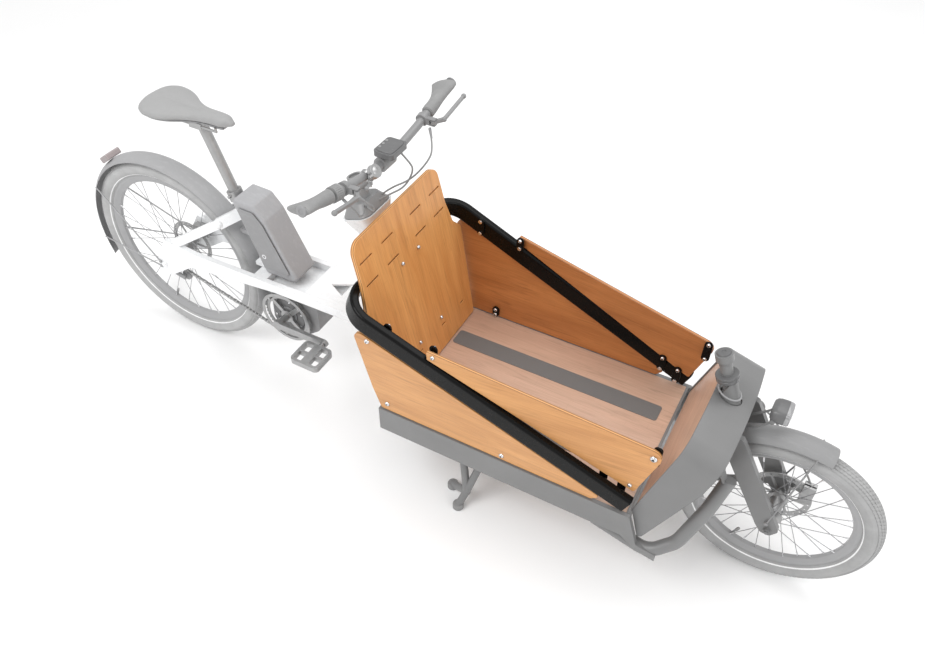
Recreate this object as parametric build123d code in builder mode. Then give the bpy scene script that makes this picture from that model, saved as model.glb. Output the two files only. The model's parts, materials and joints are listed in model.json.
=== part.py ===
from build123d import *
import os
from math import acos, asin, atan2, cos, degrees, radians, sin, sqrt, tan

os.makedirs("parts", exist_ok=True)

# Front-loader cargo bicycle, in millimetres. +X is forward, +Y is the rider's left, +Z is up.
# The origin is on the ground, midway between the rear fender and the front of the front tyre.

# ---------------------------------------------------------------- driving dimensions
WHEELBASE = 1958
REAR_WHEEL_R = 334                      # 26 inch wheel with a 55 mm tyre
FRONT_WHEEL_R = 256                     # 20 inch wheel with the same tyre
TYRE_R = 27.5                           # section radius
REAR_FENDER_R = 352
FRONT_FENDER_R = 275
MIDDLE = (WHEELBASE + FRONT_WHEEL_R - REAR_FENDER_R) / 2
FIT = 0.05                              # radial clearance of running fits

STEER_ANGLE = 70                        # both steering axes, degrees from the ground
FRONT_AXIS_FOOT = 1752 + 620 / tan(radians(STEER_ANGLE))
REAR_AXIS_FOOT = 925 + 320 / tan(radians(STEER_ANGLE))

RAIL_Y = 250                            # outside of the platform
RAIL_BOTTOM = 228
FLOOR_TOP = 312
PLATFORM_START = 925
PLATFORM_END = 1640
BOARD_T = 12                            # front and back boards
PANEL_T = 9                             # side panels

BB_X, BB_Z = 458, 283                   # crank axle
CRANK_LENGTH = 170
CHAIN_Y = -50
CHAIN_PITCH = 12.7
RING_TEETH = 42
SPROCKET_TEETH = 18
SPOKES = 32
SEAT_SLOPE = 69 / 200                   # the seat tube leans back
BAR_R = 11.1
BEAM_IN, BEAM_OUT = 67.5, 84            # faces of the twin beams
COLUMN_R = 23                           # rear head tube
HALF_BAR = 318

NODES = []


def at(x, y, z):
    """A point x in front of the rear axle, y to the left and z above the ground."""
    return Vector(x - MIDDLE, y, z)


def save(builder, name):
    """Label a finished sub-part and write its STEP file."""
    builder.part.label = name
    export_step(builder.part, f"parts/{name}.step")
    NODES.append(name)


def front_axis(z):
    return FRONT_AXIS_FOOT - z / tan(radians(STEER_ANGLE))


def rear_axis(z):
    return REAR_AXIS_FOOT - z / tan(radians(STEER_ANGLE))


def seat_axis(z):
    return 292 - SEAT_SLOPE * (z - 672)


def rod(start, end, radius, mode=Mode.ADD):
    """A round bar between two points."""
    with Locations(Plane(origin=(start + end) / 2, z_dir=end - start).location):
        Cylinder(radius, (end - start).length, mode=mode)


def bar(start, end, width, height, mode=Mode.ADD):
    """A square-cut bar between two points, its width level where it can be."""
    middle = Plane(origin=(start + end) / 2, x_dir=(0, 1, 0), z_dir=end - start)
    with Locations(middle.location):
        Box(width, height, (end - start).length, mode=mode)


def block(low, high, mode=Mode.ADD):
    """An upright box from its lowest to its highest corner."""
    size = high - low
    with Locations((low + high) / 2):
        Box(size.X, size.Y, size.Z, mode=mode)


def side_plate(points, y_low, y_high, mode=Mode.ADD):
    """A plate upright along the bicycle, its outline in (x, z)."""
    with BuildSketch(Plane.XZ.offset(-y_low)) as outline:
        with BuildLine():
            Polyline(*[(x - MIDDLE, z) for x, z in points], close=True)
        make_face()
    extrude(outline.sketch, amount=-(y_high - y_low), mode=mode)


def round_plate(points, radii, y_low, y_high, mode=Mode.ADD):
    """As side_plate, with rounded corners."""
    with BuildSketch(Plane.XZ.offset(-y_low)) as outline:
        with BuildLine():
            FilletPolyline(*[(x - MIDDLE, z) for x, z in points], radius=radii, close=True)
        make_face()
    extrude(outline.sketch, amount=-(y_high - y_low), mode=mode)


def tube_along(points, radii, radius):
    """A round tube along straight runs joined by arcs."""
    with BuildLine() as route:
        FilletPolyline(*points, radius=radii)
    path = route.wires()[0]
    with BuildSketch(Plane(origin=path @ 0, z_dir=path % 0)) as section:
        Circle(radius)
    sweep(section.sketch, path=path)


def easy_radii(points):
    """The largest arcs that a route's runs leave room for."""
    radii = []
    for before, here, after in zip(points, points[1:], points[2:]):
        turn = (here - before).get_angle(after - here)
        shorter = min((here - before).length, (after - here).length)
        radii.append(0.45 * shorter / tan(radians(turn) / 2))
    return radii


def wheel_plane(x, z):
    """A wheel's section plane: local x is the radius and local y is along the axle."""
    return Plane(origin=at(x, 0, z), x_dir=(1, 0, 0), z_dir=(0, 0, 1))


def wheel_axis(x, z):
    return Axis(at(x, 0, z), (0, 1, 0))


def pitch_radius(teeth):
    return CHAIN_PITCH / (2 * sin(radians(180 / teeth)))


# ---------------------------------------------------------------- wheels
RIM_DEPTH = {"rear": 32, "front": 26}
HUB_FLANGE_R = {"rear": 30, "front": 26}
HUB_END = {"rear": 67.2, "front": 59.7}
AXLE_R = 5
FLANGE_Y = 30
RIM_SEAT = 46                           # tyre height above the rim
ROTOR_R = 80
ROTOR_Y = 47

for end, wheel_x, wheel_r in (("rear", 0, REAR_WHEEL_R), ("front", WHEELBASE, FRONT_WHEEL_R)):
    section = wheel_plane(wheel_x, wheel_r)
    spin = wheel_axis(wheel_x, wheel_r)
    seat_r = wheel_r - RIM_SEAT
    rim_in_r = seat_r - RIM_DEPTH[end]

    with BuildPart() as tyre:
        with BuildSketch(section):
            with Locations((wheel_r - TYRE_R, 0)):
                Circle(TYRE_R)
            with Locations((seat_r - 20, 0)):
                Rectangle(40, 80, mode=Mode.SUBTRACT)
        revolve(axis=spin)
    save(tyre, f"{end}_tyre")

    with BuildPart() as rim:
        with BuildSketch(section):
            with BuildLine():
                FilletPolyline((seat_r, -13), (seat_r, 13), (seat_r - 14, 13), (rim_in_r, 6),
                               (rim_in_r, -6), (seat_r - 14, -13), radius=[1, 1, 3, 3, 3, 3], close=True)
            make_face()
        revolve(axis=spin)
    save(rim, f"{end}_rim")

    # Each spoke leaves its flange along a tangent; leading and trailing spokes pass side by side.
    with BuildPart() as spokes:
        for number in range(SPOKES):
            side = 1 if number % 2 else -1
            lead = 1 if number % 4 < 2 else -1
            rim_turn = radians(360 / SPOKES * number)
            hub_turn = rim_turn - lead * radians(67)
            hub_y = side * FLANGE_Y + lead * 1.6
            rim_y = side * 3 + lead * 1.5
            flange_r = HUB_FLANGE_R[end] - 3
            hub_point = at(wheel_x + flange_r * cos(hub_turn), hub_y, wheel_r + flange_r * sin(hub_turn))
            rim_point = at(wheel_x + (rim_in_r + 1) * cos(rim_turn), rim_y,
                           wheel_r + (rim_in_r + 1) * sin(rim_turn))
            rod(hub_point, rim_point, 1)
    save(spokes, f"{end}_spokes")

    flange_r = HUB_FLANGE_R[end]
    barrel_r = flange_r - 8
    right_end = 36 if end == "rear" else HUB_END[end]
    with BuildPart() as hub:
        with BuildSketch(section):
            with BuildLine():
                Polyline((AXLE_R + FIT, -right_end), (11, -right_end), (11, -FLANGE_Y - 4),
                         (flange_r, -FLANGE_Y - 2), (flange_r, -FLANGE_Y + 2), (barrel_r, -FLANGE_Y + 6),
                         (barrel_r, FLANGE_Y - 6), (flange_r, FLANGE_Y - 2), (flange_r, FLANGE_Y + 2),
                         (16, FLANGE_Y + 5), (16, ROTOR_Y + 2), (11, ROTOR_Y + 2), (11, HUB_END[end]),
                         (AXLE_R + FIT, HUB_END[end]), close=True)
            make_face()
        revolve(axis=spin)
        with BuildSketch(Plane(origin=at(wheel_x, ROTOR_Y, wheel_r), x_dir=(1, 0, 0), z_dir=(0, 1, 0))):
            Circle(ROTOR_R)
            Circle(ROTOR_R - 15, mode=Mode.SUBTRACT)
            with PolarLocations(ROTOR_R - 7, 24):
                Circle(2.6, mode=Mode.SUBTRACT)
            with PolarLocations(40, 6):
                Rectangle(56, 7)
            Circle(15, mode=Mode.SUBTRACT)
        extrude(amount=1, both=True)
    save(hub, f"{end}_hub")

# ---------------------------------------------------------------- drive train
SPROCKET_R = pitch_radius(SPROCKET_TEETH)
RING_R = pitch_radius(RING_TEETH)
CHAIN_HALF = 3                          # half of the chain's height
JOCKEY_X, JOCKEY_Z, JOCKEY_R = 50, 284, 17


def toothed_disc(teeth, root, centre, thickness):
    """A thin disc with one tooth for each chain pitch."""
    with BuildSketch(Plane(origin=centre, x_dir=(1, 0, 0), z_dir=(0, 1, 0))) as disc:
        Circle(root)
        with PolarLocations(root + 1.2, teeth):
            Rectangle(3.6, 4)
    extrude(disc.sketch, amount=thickness / 2, both=True)


with BuildPart() as sprocket:
    toothed_disc(SPROCKET_TEETH, SPROCKET_R - 6.4, at(0, CHAIN_Y, REAR_WHEEL_R), 3)
    rod(at(0, -37, REAR_WHEEL_R), at(0, -64, REAR_WHEEL_R), 19)
    rod(at(0, -30, REAR_WHEEL_R), at(0, -70, REAR_WHEEL_R), AXLE_R + FIT, Mode.SUBTRACT)
save(sprocket, "rear_sprocket")

# Axle, two arms, spider and chainring turn as one piece. The right arm points forward.
ARM_IN, ARM_OUT = 89, 102
with BuildPart() as crankset:
    rod(at(BB_X, -ARM_OUT, BB_Z), at(BB_X, ARM_OUT, BB_Z), 11)
    toothed_disc(RING_TEETH, RING_R - 6.4, at(BB_X, CHAIN_Y, BB_Z), 3)
    with BuildSketch(Plane(origin=at(BB_X, CHAIN_Y - 2, BB_Z), x_dir=(1, 0, 0), z_dir=(0, 1, 0))):
        Circle(RING_R - 17, mode=Mode.ADD)
    extrude(amount=4, mode=Mode.SUBTRACT)
    rod(at(BB_X, CHAIN_Y - 3, BB_Z), at(BB_X, CHAIN_Y + 2, BB_Z), 22)
    with BuildSketch(Plane(origin=at(BB_X, CHAIN_Y, BB_Z), x_dir=(1, 0, 0), z_dir=(0, 1, 0))):
        with PolarLocations((RING_R - 3) / 2, 4, start_angle=45):
            Rectangle(RING_R - 15, 15)
    extrude(amount=1.5, both=True)
    for side in (-1, 1):
        low, high = sorted((side * ARM_IN, side * ARM_OUT))
        reach = -side * CRANK_LENGTH
        with BuildSketch(Plane.XZ.offset(-low)):
            with Locations((BB_X - MIDDLE + reach / 2, BB_Z)):
                Rectangle(CRANK_LENGTH, 24)
            with Locations((BB_X - MIDDLE, BB_Z)):
                Circle(17)
            with Locations((BB_X - MIDDLE + reach, BB_Z)):
                Circle(13)
        extrude(amount=-(high - low))
    for side in (-1, 1):
        hole = at(BB_X - side * CRANK_LENGTH, side * 80, BB_Z)
        rod(hole, hole + Vector(0, side * 30, 0), 6 + FIT, Mode.SUBTRACT)
save(crankset, "crankset")

PEDAL_LONG, PEDAL_WIDE, PEDAL_HIGH = 98, 88, 18
for side, name in ((1, "pedal_left"), (-1, "pedal_right")):
    pedal_x = BB_X - side * CRANK_LENGTH
    centre_y = side * (ARM_OUT + 12 + PEDAL_WIDE / 2)
    with BuildPart() as pedal:
        with BuildSketch(Plane.XY.offset(BB_Z - PEDAL_HIGH / 2)):
            with Locations((pedal_x - MIDDLE, centre_y)):
                RectangleRounded(PEDAL_LONG, PEDAL_WIDE, 14)
                RectangleRounded(PEDAL_LONG - 18, PEDAL_WIDE - 18, 6, mode=Mode.SUBTRACT)
                Rectangle(26, PEDAL_WIDE - 4)
                Rectangle(PEDAL_LONG - 4, 8)
        extrude(amount=PEDAL_HIGH)
        rod(at(pedal_x, side * (ARM_IN + 1), BB_Z), at(pedal_x, centre_y, BB_Z), 6)
        rod(at(pedal_x, side * (ARM_OUT + 0.5), BB_Z), at(pedal_x, side * (ARM_OUT + 12), BB_Z), 9)
    save(pedal, name)

with BuildPart() as motor:
    round_plate([(392, 232), (440, 214), (520, 220), (572, 262), (572, 352), (548, 403), (400, 403)],
                [30, 30, 30, 26, 20, 8, 18], -38, 58)
    rod(at(BB_X, -42, BB_Z), at(BB_X, 74, BB_Z), 30)
    rod(at(BB_X, -80, BB_Z), at(BB_X, 80, BB_Z), 11 + FIT, Mode.SUBTRACT)
save(motor, "motor")


def tangent(from_c, from_r, to_c, to_r):
    """Where a taut line touches two circles that it passes on its left, in (x, z)."""
    away = atan2(to_c[1] - from_c[1], to_c[0] - from_c[0])
    lean = acos((from_r - to_r) / sqrt((to_c[0] - from_c[0]) ** 2 + (to_c[1] - from_c[1]) ** 2))
    turn = away + lean
    return [(c[0] + r * cos(turn), c[1] + r * sin(turn)) for c, r in ((from_c, from_r), (to_c, to_r))]


# The chain is a closed band round the chainring and the sprocket. A jockey wheel lifts its lower run.
SPROCKET_C, RING_C, JOCKEY_C = (0, REAR_WHEEL_R), (BB_X, BB_Z), (JOCKEY_X, JOCKEY_Z)
top_run = tangent(SPROCKET_C, SPROCKET_R, RING_C, RING_R)
low_run = [(JOCKEY_X + 6, JOCKEY_Z + JOCKEY_R + 3), (BB_X - 22, BB_Z - RING_R + 3)]
back_run = [(14, REAR_WHEEL_R - SPROCKET_R + 3), (JOCKEY_X - 2, JOCKEY_Z + JOCKEY_R + 3.5)]
with BuildPart() as chain:
    for centre, pitch_r in ((SPROCKET_C, SPROCKET_R), (RING_C, RING_R)):
        with BuildSketch(Plane.XZ.offset(-CHAIN_Y)):
            with Locations((centre[0] - MIDDLE, centre[1])):
                Circle(pitch_r + CHAIN_HALF)
                Circle(pitch_r - CHAIN_HALF + 1.4, mode=Mode.SUBTRACT)
        extrude(amount=3.5, both=True)
    side_plate([(10, 310), (12, 384), (RING_C[0] - 4, 384), (RING_C[0] - 40, 180)], -60, -40, Mode.SUBTRACT)
    for start, end in (top_run, low_run, back_run):
        bar(at(start[0], CHAIN_Y, start[1]), at(end[0], CHAIN_Y, end[1]), 7, 2 * CHAIN_HALF - 1)
save(chain, "chain")

with BuildPart() as tensioner:
    bar(at(-10, -64.5, 296), at(JOCKEY_X + 4, -64.5, JOCKEY_Z - 2), 5, 16)
    rod(at(-10, -BEAM_IN, 300), at(-10, -62, 300), 9)
    rod(at(JOCKEY_X, -66, JOCKEY_Z), at(JOCKEY_X, -44, JOCKEY_Z), 4)
    rod(at(JOCKEY_X, -54.5, JOCKEY_Z), at(JOCKEY_X, -45.5, JOCKEY_Z), JOCKEY_R)
save(tensioner, "chain_tensioner")

# ---------------------------------------------------------------- rear frame
BEAM_TOP = [(150, 428), (455, 434), (700, 441), (900, 446)]
BEAM_LOW = [(900, 414), (700, 408), (455, 404), (120, 366)]
DROPOUT = [(26, 300), (-4, 292), (-26, 306), (-26, 352), (30, 440)]
with BuildPart() as main_beams:
    for side in (-1, 1):
        low, high = sorted((side * BEAM_IN, side * BEAM_OUT))
        side_plate(BEAM_TOP + BEAM_LOW + DROPOUT, low, high)
    block(at(420, -BEAM_IN, 404), at(640, BEAM_IN, 410))
    side_plate([(560, 432), (880, 440), (880, 445), (560, 438)], -BEAM_IN, BEAM_IN)
    with BuildSketch(Plane.XY.offset(420)):
        with BuildLine():
            Polyline((610 - MIDDLE, 0), (676 - MIDDLE, 34), (676 - MIDDLE, -34), close=True)
        make_face()
    extrude(amount=40, mode=Mode.SUBTRACT)
    block(at(372, -BEAM_IN, 406), at(420, BEAM_IN, 432))
    side_plate([(862, 236), (862, 446), (892, 446), (924.5, 300), (924.5, 236)], -84, 84)
    side_plate([(872, 250), (872, 430), (886, 430), (914, 300), (914, 250)], -78, 78, Mode.SUBTRACT)
    rod(at(rear_axis(200), 0, 200), at(rear_axis(480), 0, 480), COLUMN_R, Mode.SUBTRACT)
    rod(at(0, -BEAM_OUT - 8, REAR_WHEEL_R), at(0, BEAM_OUT + 8, REAR_WHEEL_R), AXLE_R)
    for side in (-1, 1):
        rod(at(0, side * BEAM_OUT, REAR_WHEEL_R), at(0, side * (BEAM_OUT + 7), REAR_WHEEL_R), 9)
save(main_beams, "main_beams")

SEAT_TUBE_R, SEAT_BORE_R = 18, 15.2 + FIT
SEAT_TOP_Z, SEAT_FOOT_Z = 662, 436
STAY = [(seat_axis(600), 600), (258, 568), (64, 436)]
with BuildPart() as seat_frame:
    rod(at(seat_axis(SEAT_FOOT_Z), 0, SEAT_FOOT_Z), at(seat_axis(SEAT_TOP_Z), 0, SEAT_TOP_Z), SEAT_TUBE_R)
    for side in (-1, 1):
        bend = at(STAY[1][0], side * 56, STAY[1][1])
        foot = at(STAY[2][0], side * 75.75, STAY[2][1])
        bar(at(STAY[0][0], 0, STAY[0][1]), bend, 15, 34)
        with Locations(bend):
            Sphere(15)
        bar(bend, foot, 14, 28)
    block(at(350, -30, 433), at(388, 30, 446))
    rod(at(seat_axis(430), 0, 430), at(seat_axis(720), 0, 720), SEAT_BORE_R, Mode.SUBTRACT)
    with BuildSketch(Plane.XZ.offset(-100)):
        with BuildLine():
            Polyline(*[(x - MIDDLE, z) for x, z in BEAM_TOP + BEAM_LOW + DROPOUT], close=True)
        make_face()
    extrude(amount=200, mode=Mode.SUBTRACT)
save(seat_frame, "seat_frame")

SEAT_UP = Vector(-SEAT_SLOPE, 0, 1).normalized()
with BuildPart() as seat_collar:
    collar_foot = at(seat_axis(640), 0, 640)
    rod(collar_foot, collar_foot + SEAT_UP * 30, 23)
    rod(collar_foot + SEAT_UP * 20, collar_foot + SEAT_UP * 20 + Vector(0, -30, 0), 5)
    rod(collar_foot - SEAT_UP * 4, collar_foot + SEAT_UP * 24, SEAT_TUBE_R, Mode.SUBTRACT)
    rod(collar_foot - SEAT_UP * 4, collar_foot + SEAT_UP * 40, SEAT_BORE_R, Mode.SUBTRACT)
save(seat_collar, "seat_collar")

POST_TOP = at(seat_axis(866), 0, 866)
with BuildPart() as seatpost:
    rod(at(seat_axis(570), 0, 570), POST_TOP, 15.2)
    with Locations(POST_TOP + Vector(0, 0, 2)):
        Box(44, 52, 18)
    for side in (-1, 1):
        rail_y = side * 22
        rod(at(110, rail_y, 868), at(300, rail_y, 868), 3.5)
        rod(at(113, rail_y, 868), at(113, rail_y, 880), 3.5)
        rod(at(297, rail_y, 868), at(297, rail_y, 880), 3.5)
save(seatpost, "seatpost")

SADDLE_HALF = [(47, 56), (84, 82), (150, 76), (232, 32), (344, 21)]
with BuildPart() as saddle:
    with BuildSketch(Plane.XY.offset(880)):
        with BuildLine():
            right = [(x - MIDDLE, -y) for x, y in SADDLE_HALF]
            left = [(x - MIDDLE, y) for x, y in reversed(SADDLE_HALF)]
            FilletPolyline(*right, *left, radius=[30, 30, 30, 40, 14, 14, 40, 30, 30, 30], close=True)
        make_face()
    extrude(amount=40)
    fillet(saddle.faces().sort_by(Axis.Z)[-1].edges(), 12)
save(saddle, "saddle")

with BuildPart() as battery:
    round_plate([(402, 432), (506, 432), (519, 450), (434, 632), (398, 674), (330, 676), (322, 660)],
                [10, 8, 8, 20, 14, 8, 8], -46, 46)
    fillet(battery.edges().filter_by(Plane.XZ).filter_by(GeomType.LINE).sort_by(Axis.X)[-4:], 8)
save(battery, "battery")

# ---------------------------------------------------------------- rear fender and light


def fender(x, z, crown_r, first, last):
    """A curved strip round a wheel, from one angle to another, measured up from straight ahead."""
    turn = radians(first)
    outward, onward = (cos(turn), 0, sin(turn)), (-sin(turn), 0, cos(turn))
    section_plane = Plane(origin=at(x, 0, z), x_dir=outward, z_dir=onward)
    with BuildSketch(section_plane) as section:
        with BuildLine():
            ThreePointArc((crown_r - 15, -34), (crown_r, 0), (crown_r - 15, 34))
            Line((crown_r - 15, 34), (crown_r - 18, 34))
            ThreePointArc((crown_r - 18, 34), (crown_r - 3, 0), (crown_r - 18, -34))
            Line((crown_r - 18, -34), (crown_r - 15, -34))
        make_face()
    revolve(section.sketch, axis=Axis(at(x, 0, z), (0, -1, 0)), revolution_arc=last - first)


def on_wheel(x, z, radius, angle, y):
    """A point at a radius and angle from a wheel's centre."""
    return at(x + radius * cos(radians(angle)), y, z + radius * sin(radians(angle)))


with BuildPart() as rear_fender:
    fender(0, REAR_WHEEL_R, REAR_FENDER_R, -14, 200)
    block(at(292, -9, 520), at(330, 9, 534))
    rod(at(seat_axis(480), 0, 480), at(seat_axis(580), 0, 580), SEAT_TUBE_R, Mode.SUBTRACT)
    for side in (-1, 1):
        for angle in (150, 188):
            lug = at(-16, side * (BEAM_OUT + 3), REAR_WHEEL_R + (6 if angle == 150 else -12))
            rod(lug, on_wheel(0, REAR_WHEEL_R, REAR_FENDER_R - 14, angle, side * 34), 2.5)
            rod(lug - Vector(0, side * 3, 0), lug + Vector(0, side * 3, 0), 5)
save(rear_fender, "rear_fender")

LIGHT_ANGLE = 125.6
with BuildPart() as rear_light:
    seat = on_wheel(0, REAR_WHEEL_R, REAR_FENDER_R + 10.5, LIGHT_ANGLE, 0)
    outward = on_wheel(0, REAR_WHEEL_R, REAR_FENDER_R + 100, LIGHT_ANGLE, 0) - seat
    with Locations(Plane(origin=seat, x_dir=(0, 1, 0), z_dir=outward).location):
        Box(56, 44, 20)
    fillet(rear_light.edges(), 4)
save(rear_light, "rear_light")

with BuildPart() as rear_caliper:
    block(at(34, 38, 392), at(92, 60, 424))
    block(at(20, ROTOR_Y - 2.5, 380), at(100, ROTOR_Y + 2.5, 411), Mode.SUBTRACT)
    block(at(44, 60, 396), at(84, BEAM_IN, 420))
save(rear_caliper, "rear_caliper")

# ---------------------------------------------------------------- platform
HINGE_X, HINGE_Z, HINGE_R = 1145, 208, 9     # the stand folds about this axle
with BuildPart() as platform_frame:
    rail = [(PLATFORM_START, RAIL_BOTTOM), (PLATFORM_START, FLOOR_TOP), (1652, FLOOR_TOP),
            (1684, 214), (1737, 205), (1737, 181), (1692, 190), (PLATFORM_END, RAIL_BOTTOM)]
    for side in (-1, 1):
        low, high = sorted((side * (RAIL_Y - 12), side * RAIL_Y))
        side_plate(rail, low, high)
        block(at(PLATFORM_START, min(side * (RAIL_Y - 30), side * RAIL_Y), RAIL_BOTTOM),
              at(PLATFORM_END, max(side * (RAIL_Y - 30), side * RAIL_Y), RAIL_BOTTOM + 8))
    for start, finish in ((925, 985), (1130, 1160), (1400, 1430), (1615, 1647)):
        block(at(start, -RAIL_Y + 12, RAIL_BOTTOM + 6), at(finish, RAIL_Y - 12, FLOOR_TOP - 15))
    block(at(PLATFORM_END, -RAIL_Y + 12, FLOOR_TOP - 15), at(1647, RAIL_Y - 12, FLOOR_TOP + 2))
    for y in (-197, -150, 150, 197):
        block(at(HINGE_X - 14, y - 5, HINGE_Z - 14), at(HINGE_X + 14, y + 5, RAIL_BOTTOM + 10))
    rod(at(HINGE_X, -210, HINGE_Z), at(HINGE_X, 210, HINGE_Z), HINGE_R + FIT, Mode.SUBTRACT)
    rod(at(rear_axis(180), 0, 180), at(rear_axis(380), 0, 380), COLUMN_R, Mode.SUBTRACT)
save(platform_frame, "platform_frame")

with BuildPart() as floor_board:
    block(at(955, -RAIL_Y + 12, FLOOR_TOP - 15), at(PLATFORM_END, RAIL_Y - 12, FLOOR_TOP))
    rod(at(rear_axis(200), 0, 200), at(rear_axis(400), 0, 400), COLUMN_R, Mode.SUBTRACT)
save(floor_board, "floor_board")

with BuildPart() as floor_strips:
    for side in (-1, 1):
        with BuildSketch(Plane.XY.offset(FLOOR_TOP)):
            with Locations((1291 - MIDDLE, side * 104)):
                RectangleRounded(630, 57, 8)
        extrude(amount=1.5)
save(floor_strips, "floor_strips")

# The front wall leans forward. Its plane has local x to the left and local y up the wall.
WALL_LEAN = 0.292
WALL = Plane(origin=at(1648, 0, 310), x_dir=(0, -1, 0), z_dir=(-1, 0, WALL_LEAN))
WALL_STEP = sqrt(1 + WALL_LEAN ** 2)
COWL_T = 4
COWL_DEPTH = 98


def wall_up(z):
    return (z - 310) * WALL_STEP


HOOP = [(-244, wall_up(170)), (-192, wall_up(566)), (0, wall_up(598)),
        (192, wall_up(566)), (244, wall_up(170))]
HOOP_IN = [(-240, wall_up(160)), (-188, wall_up(562)), (0, wall_up(594)),
           (188, wall_up(562)), (240, wall_up(160))]
COWL_EDGE = [(1560, 90), (1560, 180), (1655, 214), (1690, 236),
             (1787, 440), (1840, 470), (1900, 470), (1900, 90)]
with BuildPart() as front_cowl:
    for points, mode in ((HOOP, Mode.ADD), (HOOP_IN, Mode.SUBTRACT)):
        with BuildSketch(WALL):
            with BuildLine():
                FilletPolyline(*points, radius=[56, 600, 56])
                Line(points[-1], points[0])
            make_face()
        extrude(amount=-COWL_DEPTH, mode=mode)
    side_plate(COWL_EDGE, -300, 300, Mode.SUBTRACT)
    side_plate([(1500, 90), (1500, 312), (1650, 312), (1690, 196), (1700, 90)], -300, 300, Mode.SUBTRACT)
    rod(at(front_axis(450), 0, 450), at(front_axis(720), 0, 720), 24, Mode.SUBTRACT)
save(front_cowl, "front_cowl")

with BuildPart() as front_board:
    with BuildSketch(WALL.offset(-COWL_T)):
        with BuildLine():
            FilletPolyline(*[(y * 0.995, up - 0.3) for y, up in HOOP_IN], radius=[54, 600, 54])
            Line((HOOP_IN[-1][0] * 0.995, HOOP_IN[-1][1] - 0.3), (HOOP_IN[0][0] * 0.995, HOOP_IN[0][1] - 0.3))
        make_face()
    extrude(amount=-BOARD_T)
    block(at(1500, -300, 100), at(1800, 300, FLOOR_TOP + 2.5), Mode.SUBTRACT)
    rod(at(front_axis(450), 0, 450), at(front_axis(720), 0, 720), 24.5, Mode.SUBTRACT)
save(front_board, "front_board")

HEAD_R, STEERER_R = 22, 15
FRONT_UP = Vector(-cos(radians(STEER_ANGLE)), 0, sin(radians(STEER_ANGLE)))
with BuildPart() as front_head_tube:
    rod(at(front_axis(536), 0, 536), at(front_axis(680), 0, 680), HEAD_R)
    rod(at(front_axis(536), 0, 536), at(front_axis(552), 0, 552), 25)
    rod(at(front_axis(655), 0, 655), at(front_axis(676), 0, 676), 25)
    bar(at(front_axis(570), 0, 582), at(1704, 0, 576), 30, 22)
    rod(at(front_axis(450), 0, 450), at(front_axis(740), 0, 740), STEERER_R + FIT, Mode.SUBTRACT)
    with BuildSketch(WALL.offset(-COWL_T - BOARD_T)):
        Rectangle(600, 1000)
    extrude(amount=60, mode=Mode.SUBTRACT)
save(front_head_tube, "front_head_tube")

# Bent guard tubes carry the cowl's lower edge and keep the steered wheel off the corners.
with BuildPart() as front_braces:
    for side in (-1, 1):
        route = [at(1560, side * 218, 209), at(1716, side * 236, 192), at(1772, side * 206, 236),
                 at(1812, side * 164, 352), at(1833, side * 130, 448)]
        tube_along(route, [60, 60, 120], 18)
        bar(at(1826, side * 134, 440), at(1806, side * 150, 500), 22, 6)
        bar(at(1806, side * 150, 498), at(1800, side * 182, 520), 6, 22)
save(front_braces, "front_braces")

BACK_LEAN = 0.237
BACK = Plane(origin=at(948, 0, 412), x_dir=(0, 1, 0), z_dir=(1, 0, BACK_LEAN))
BACK_STEP = sqrt(1 + BACK_LEAN ** 2)
BACK_HALF = [(222, 318), (255, 598), (221, 630), (206, 700), (201, 812)]
with BuildPart() as back_panel:
    with BuildSketch(BACK):
        with BuildLine():
            right = [(y, (z - 412) * BACK_STEP) for y, z in BACK_HALF]
            left = [(-y, up) for y, up in reversed(right)]
            FilletPolyline(*right, *left, radius=[6, 20, 20, 60, 34, 34, 60, 20, 20, 6], close=True)
        make_face()
        for row in (754, 690):
            with Locations(*[(y, (row - 412) * BACK_STEP) for y in (-167, -69, 69, 167)]):
                SlotOverall(54, 5, mode=Mode.SUBTRACT)
        with Locations(*[(y, (385 - 412) * BACK_STEP) for y in (-174, -63, 63, 174)]):
            SlotOverall(20, 5, mode=Mode.SUBTRACT)
    extrude(amount=-BOARD_T)
save(back_panel, "back_panel")

# The hoop tube runs up and back along both sides and crosses behind the back panel.
TUBE_SLOPE = 0.407
TUBE_FOOT_X, TUBE_FOOT_Z, TUBE_FOOT_Y = 1637, 345, 238
TUBE_BACK_X, TUBE_BACK_Y = 849.5, 266
TUBE_HIGH, TUBE_WIDE = 55, 24


def tube_z(x):
    return TUBE_FOOT_Z + TUBE_SLOPE * (TUBE_FOOT_X - x)


def tube_y(x):
    return TUBE_FOOT_Y + (TUBE_BACK_Y - TUBE_FOOT_Y) * (TUBE_FOOT_X - x) / (TUBE_FOOT_X - TUBE_BACK_X)


with BuildPart() as hoop_tube:
    corners = [at(TUBE_FOOT_X, -TUBE_FOOT_Y, TUBE_FOOT_Z), at(TUBE_BACK_X, -TUBE_BACK_Y, tube_z(TUBE_BACK_X)),
               at(TUBE_BACK_X, TUBE_BACK_Y, tube_z(TUBE_BACK_X)), at(TUBE_FOOT_X, TUBE_FOOT_Y, TUBE_FOOT_Z)]
    with BuildLine() as route:
        FilletPolyline(*corners, radius=[72, 72])
    path = route.wires()[0]
    with BuildSketch(Plane(origin=path @ 0, x_dir=(TUBE_SLOPE, 0, 1), z_dir=path % 0)):
        RectangleRounded(TUBE_HIGH, TUBE_WIDE, 8)
    sweep(path=path)
save(hoop_tube, "hoop_tube")


def flare_y(z):
    """Inside face of the lower side panels."""
    return 237 + 0.1 * (z - 320)


def toe_y(x, z):
    """Inside face of the upper side panels."""
    return 254 - 0.1037 * (x - 1090) - 0.058 * (z - 617)


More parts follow.
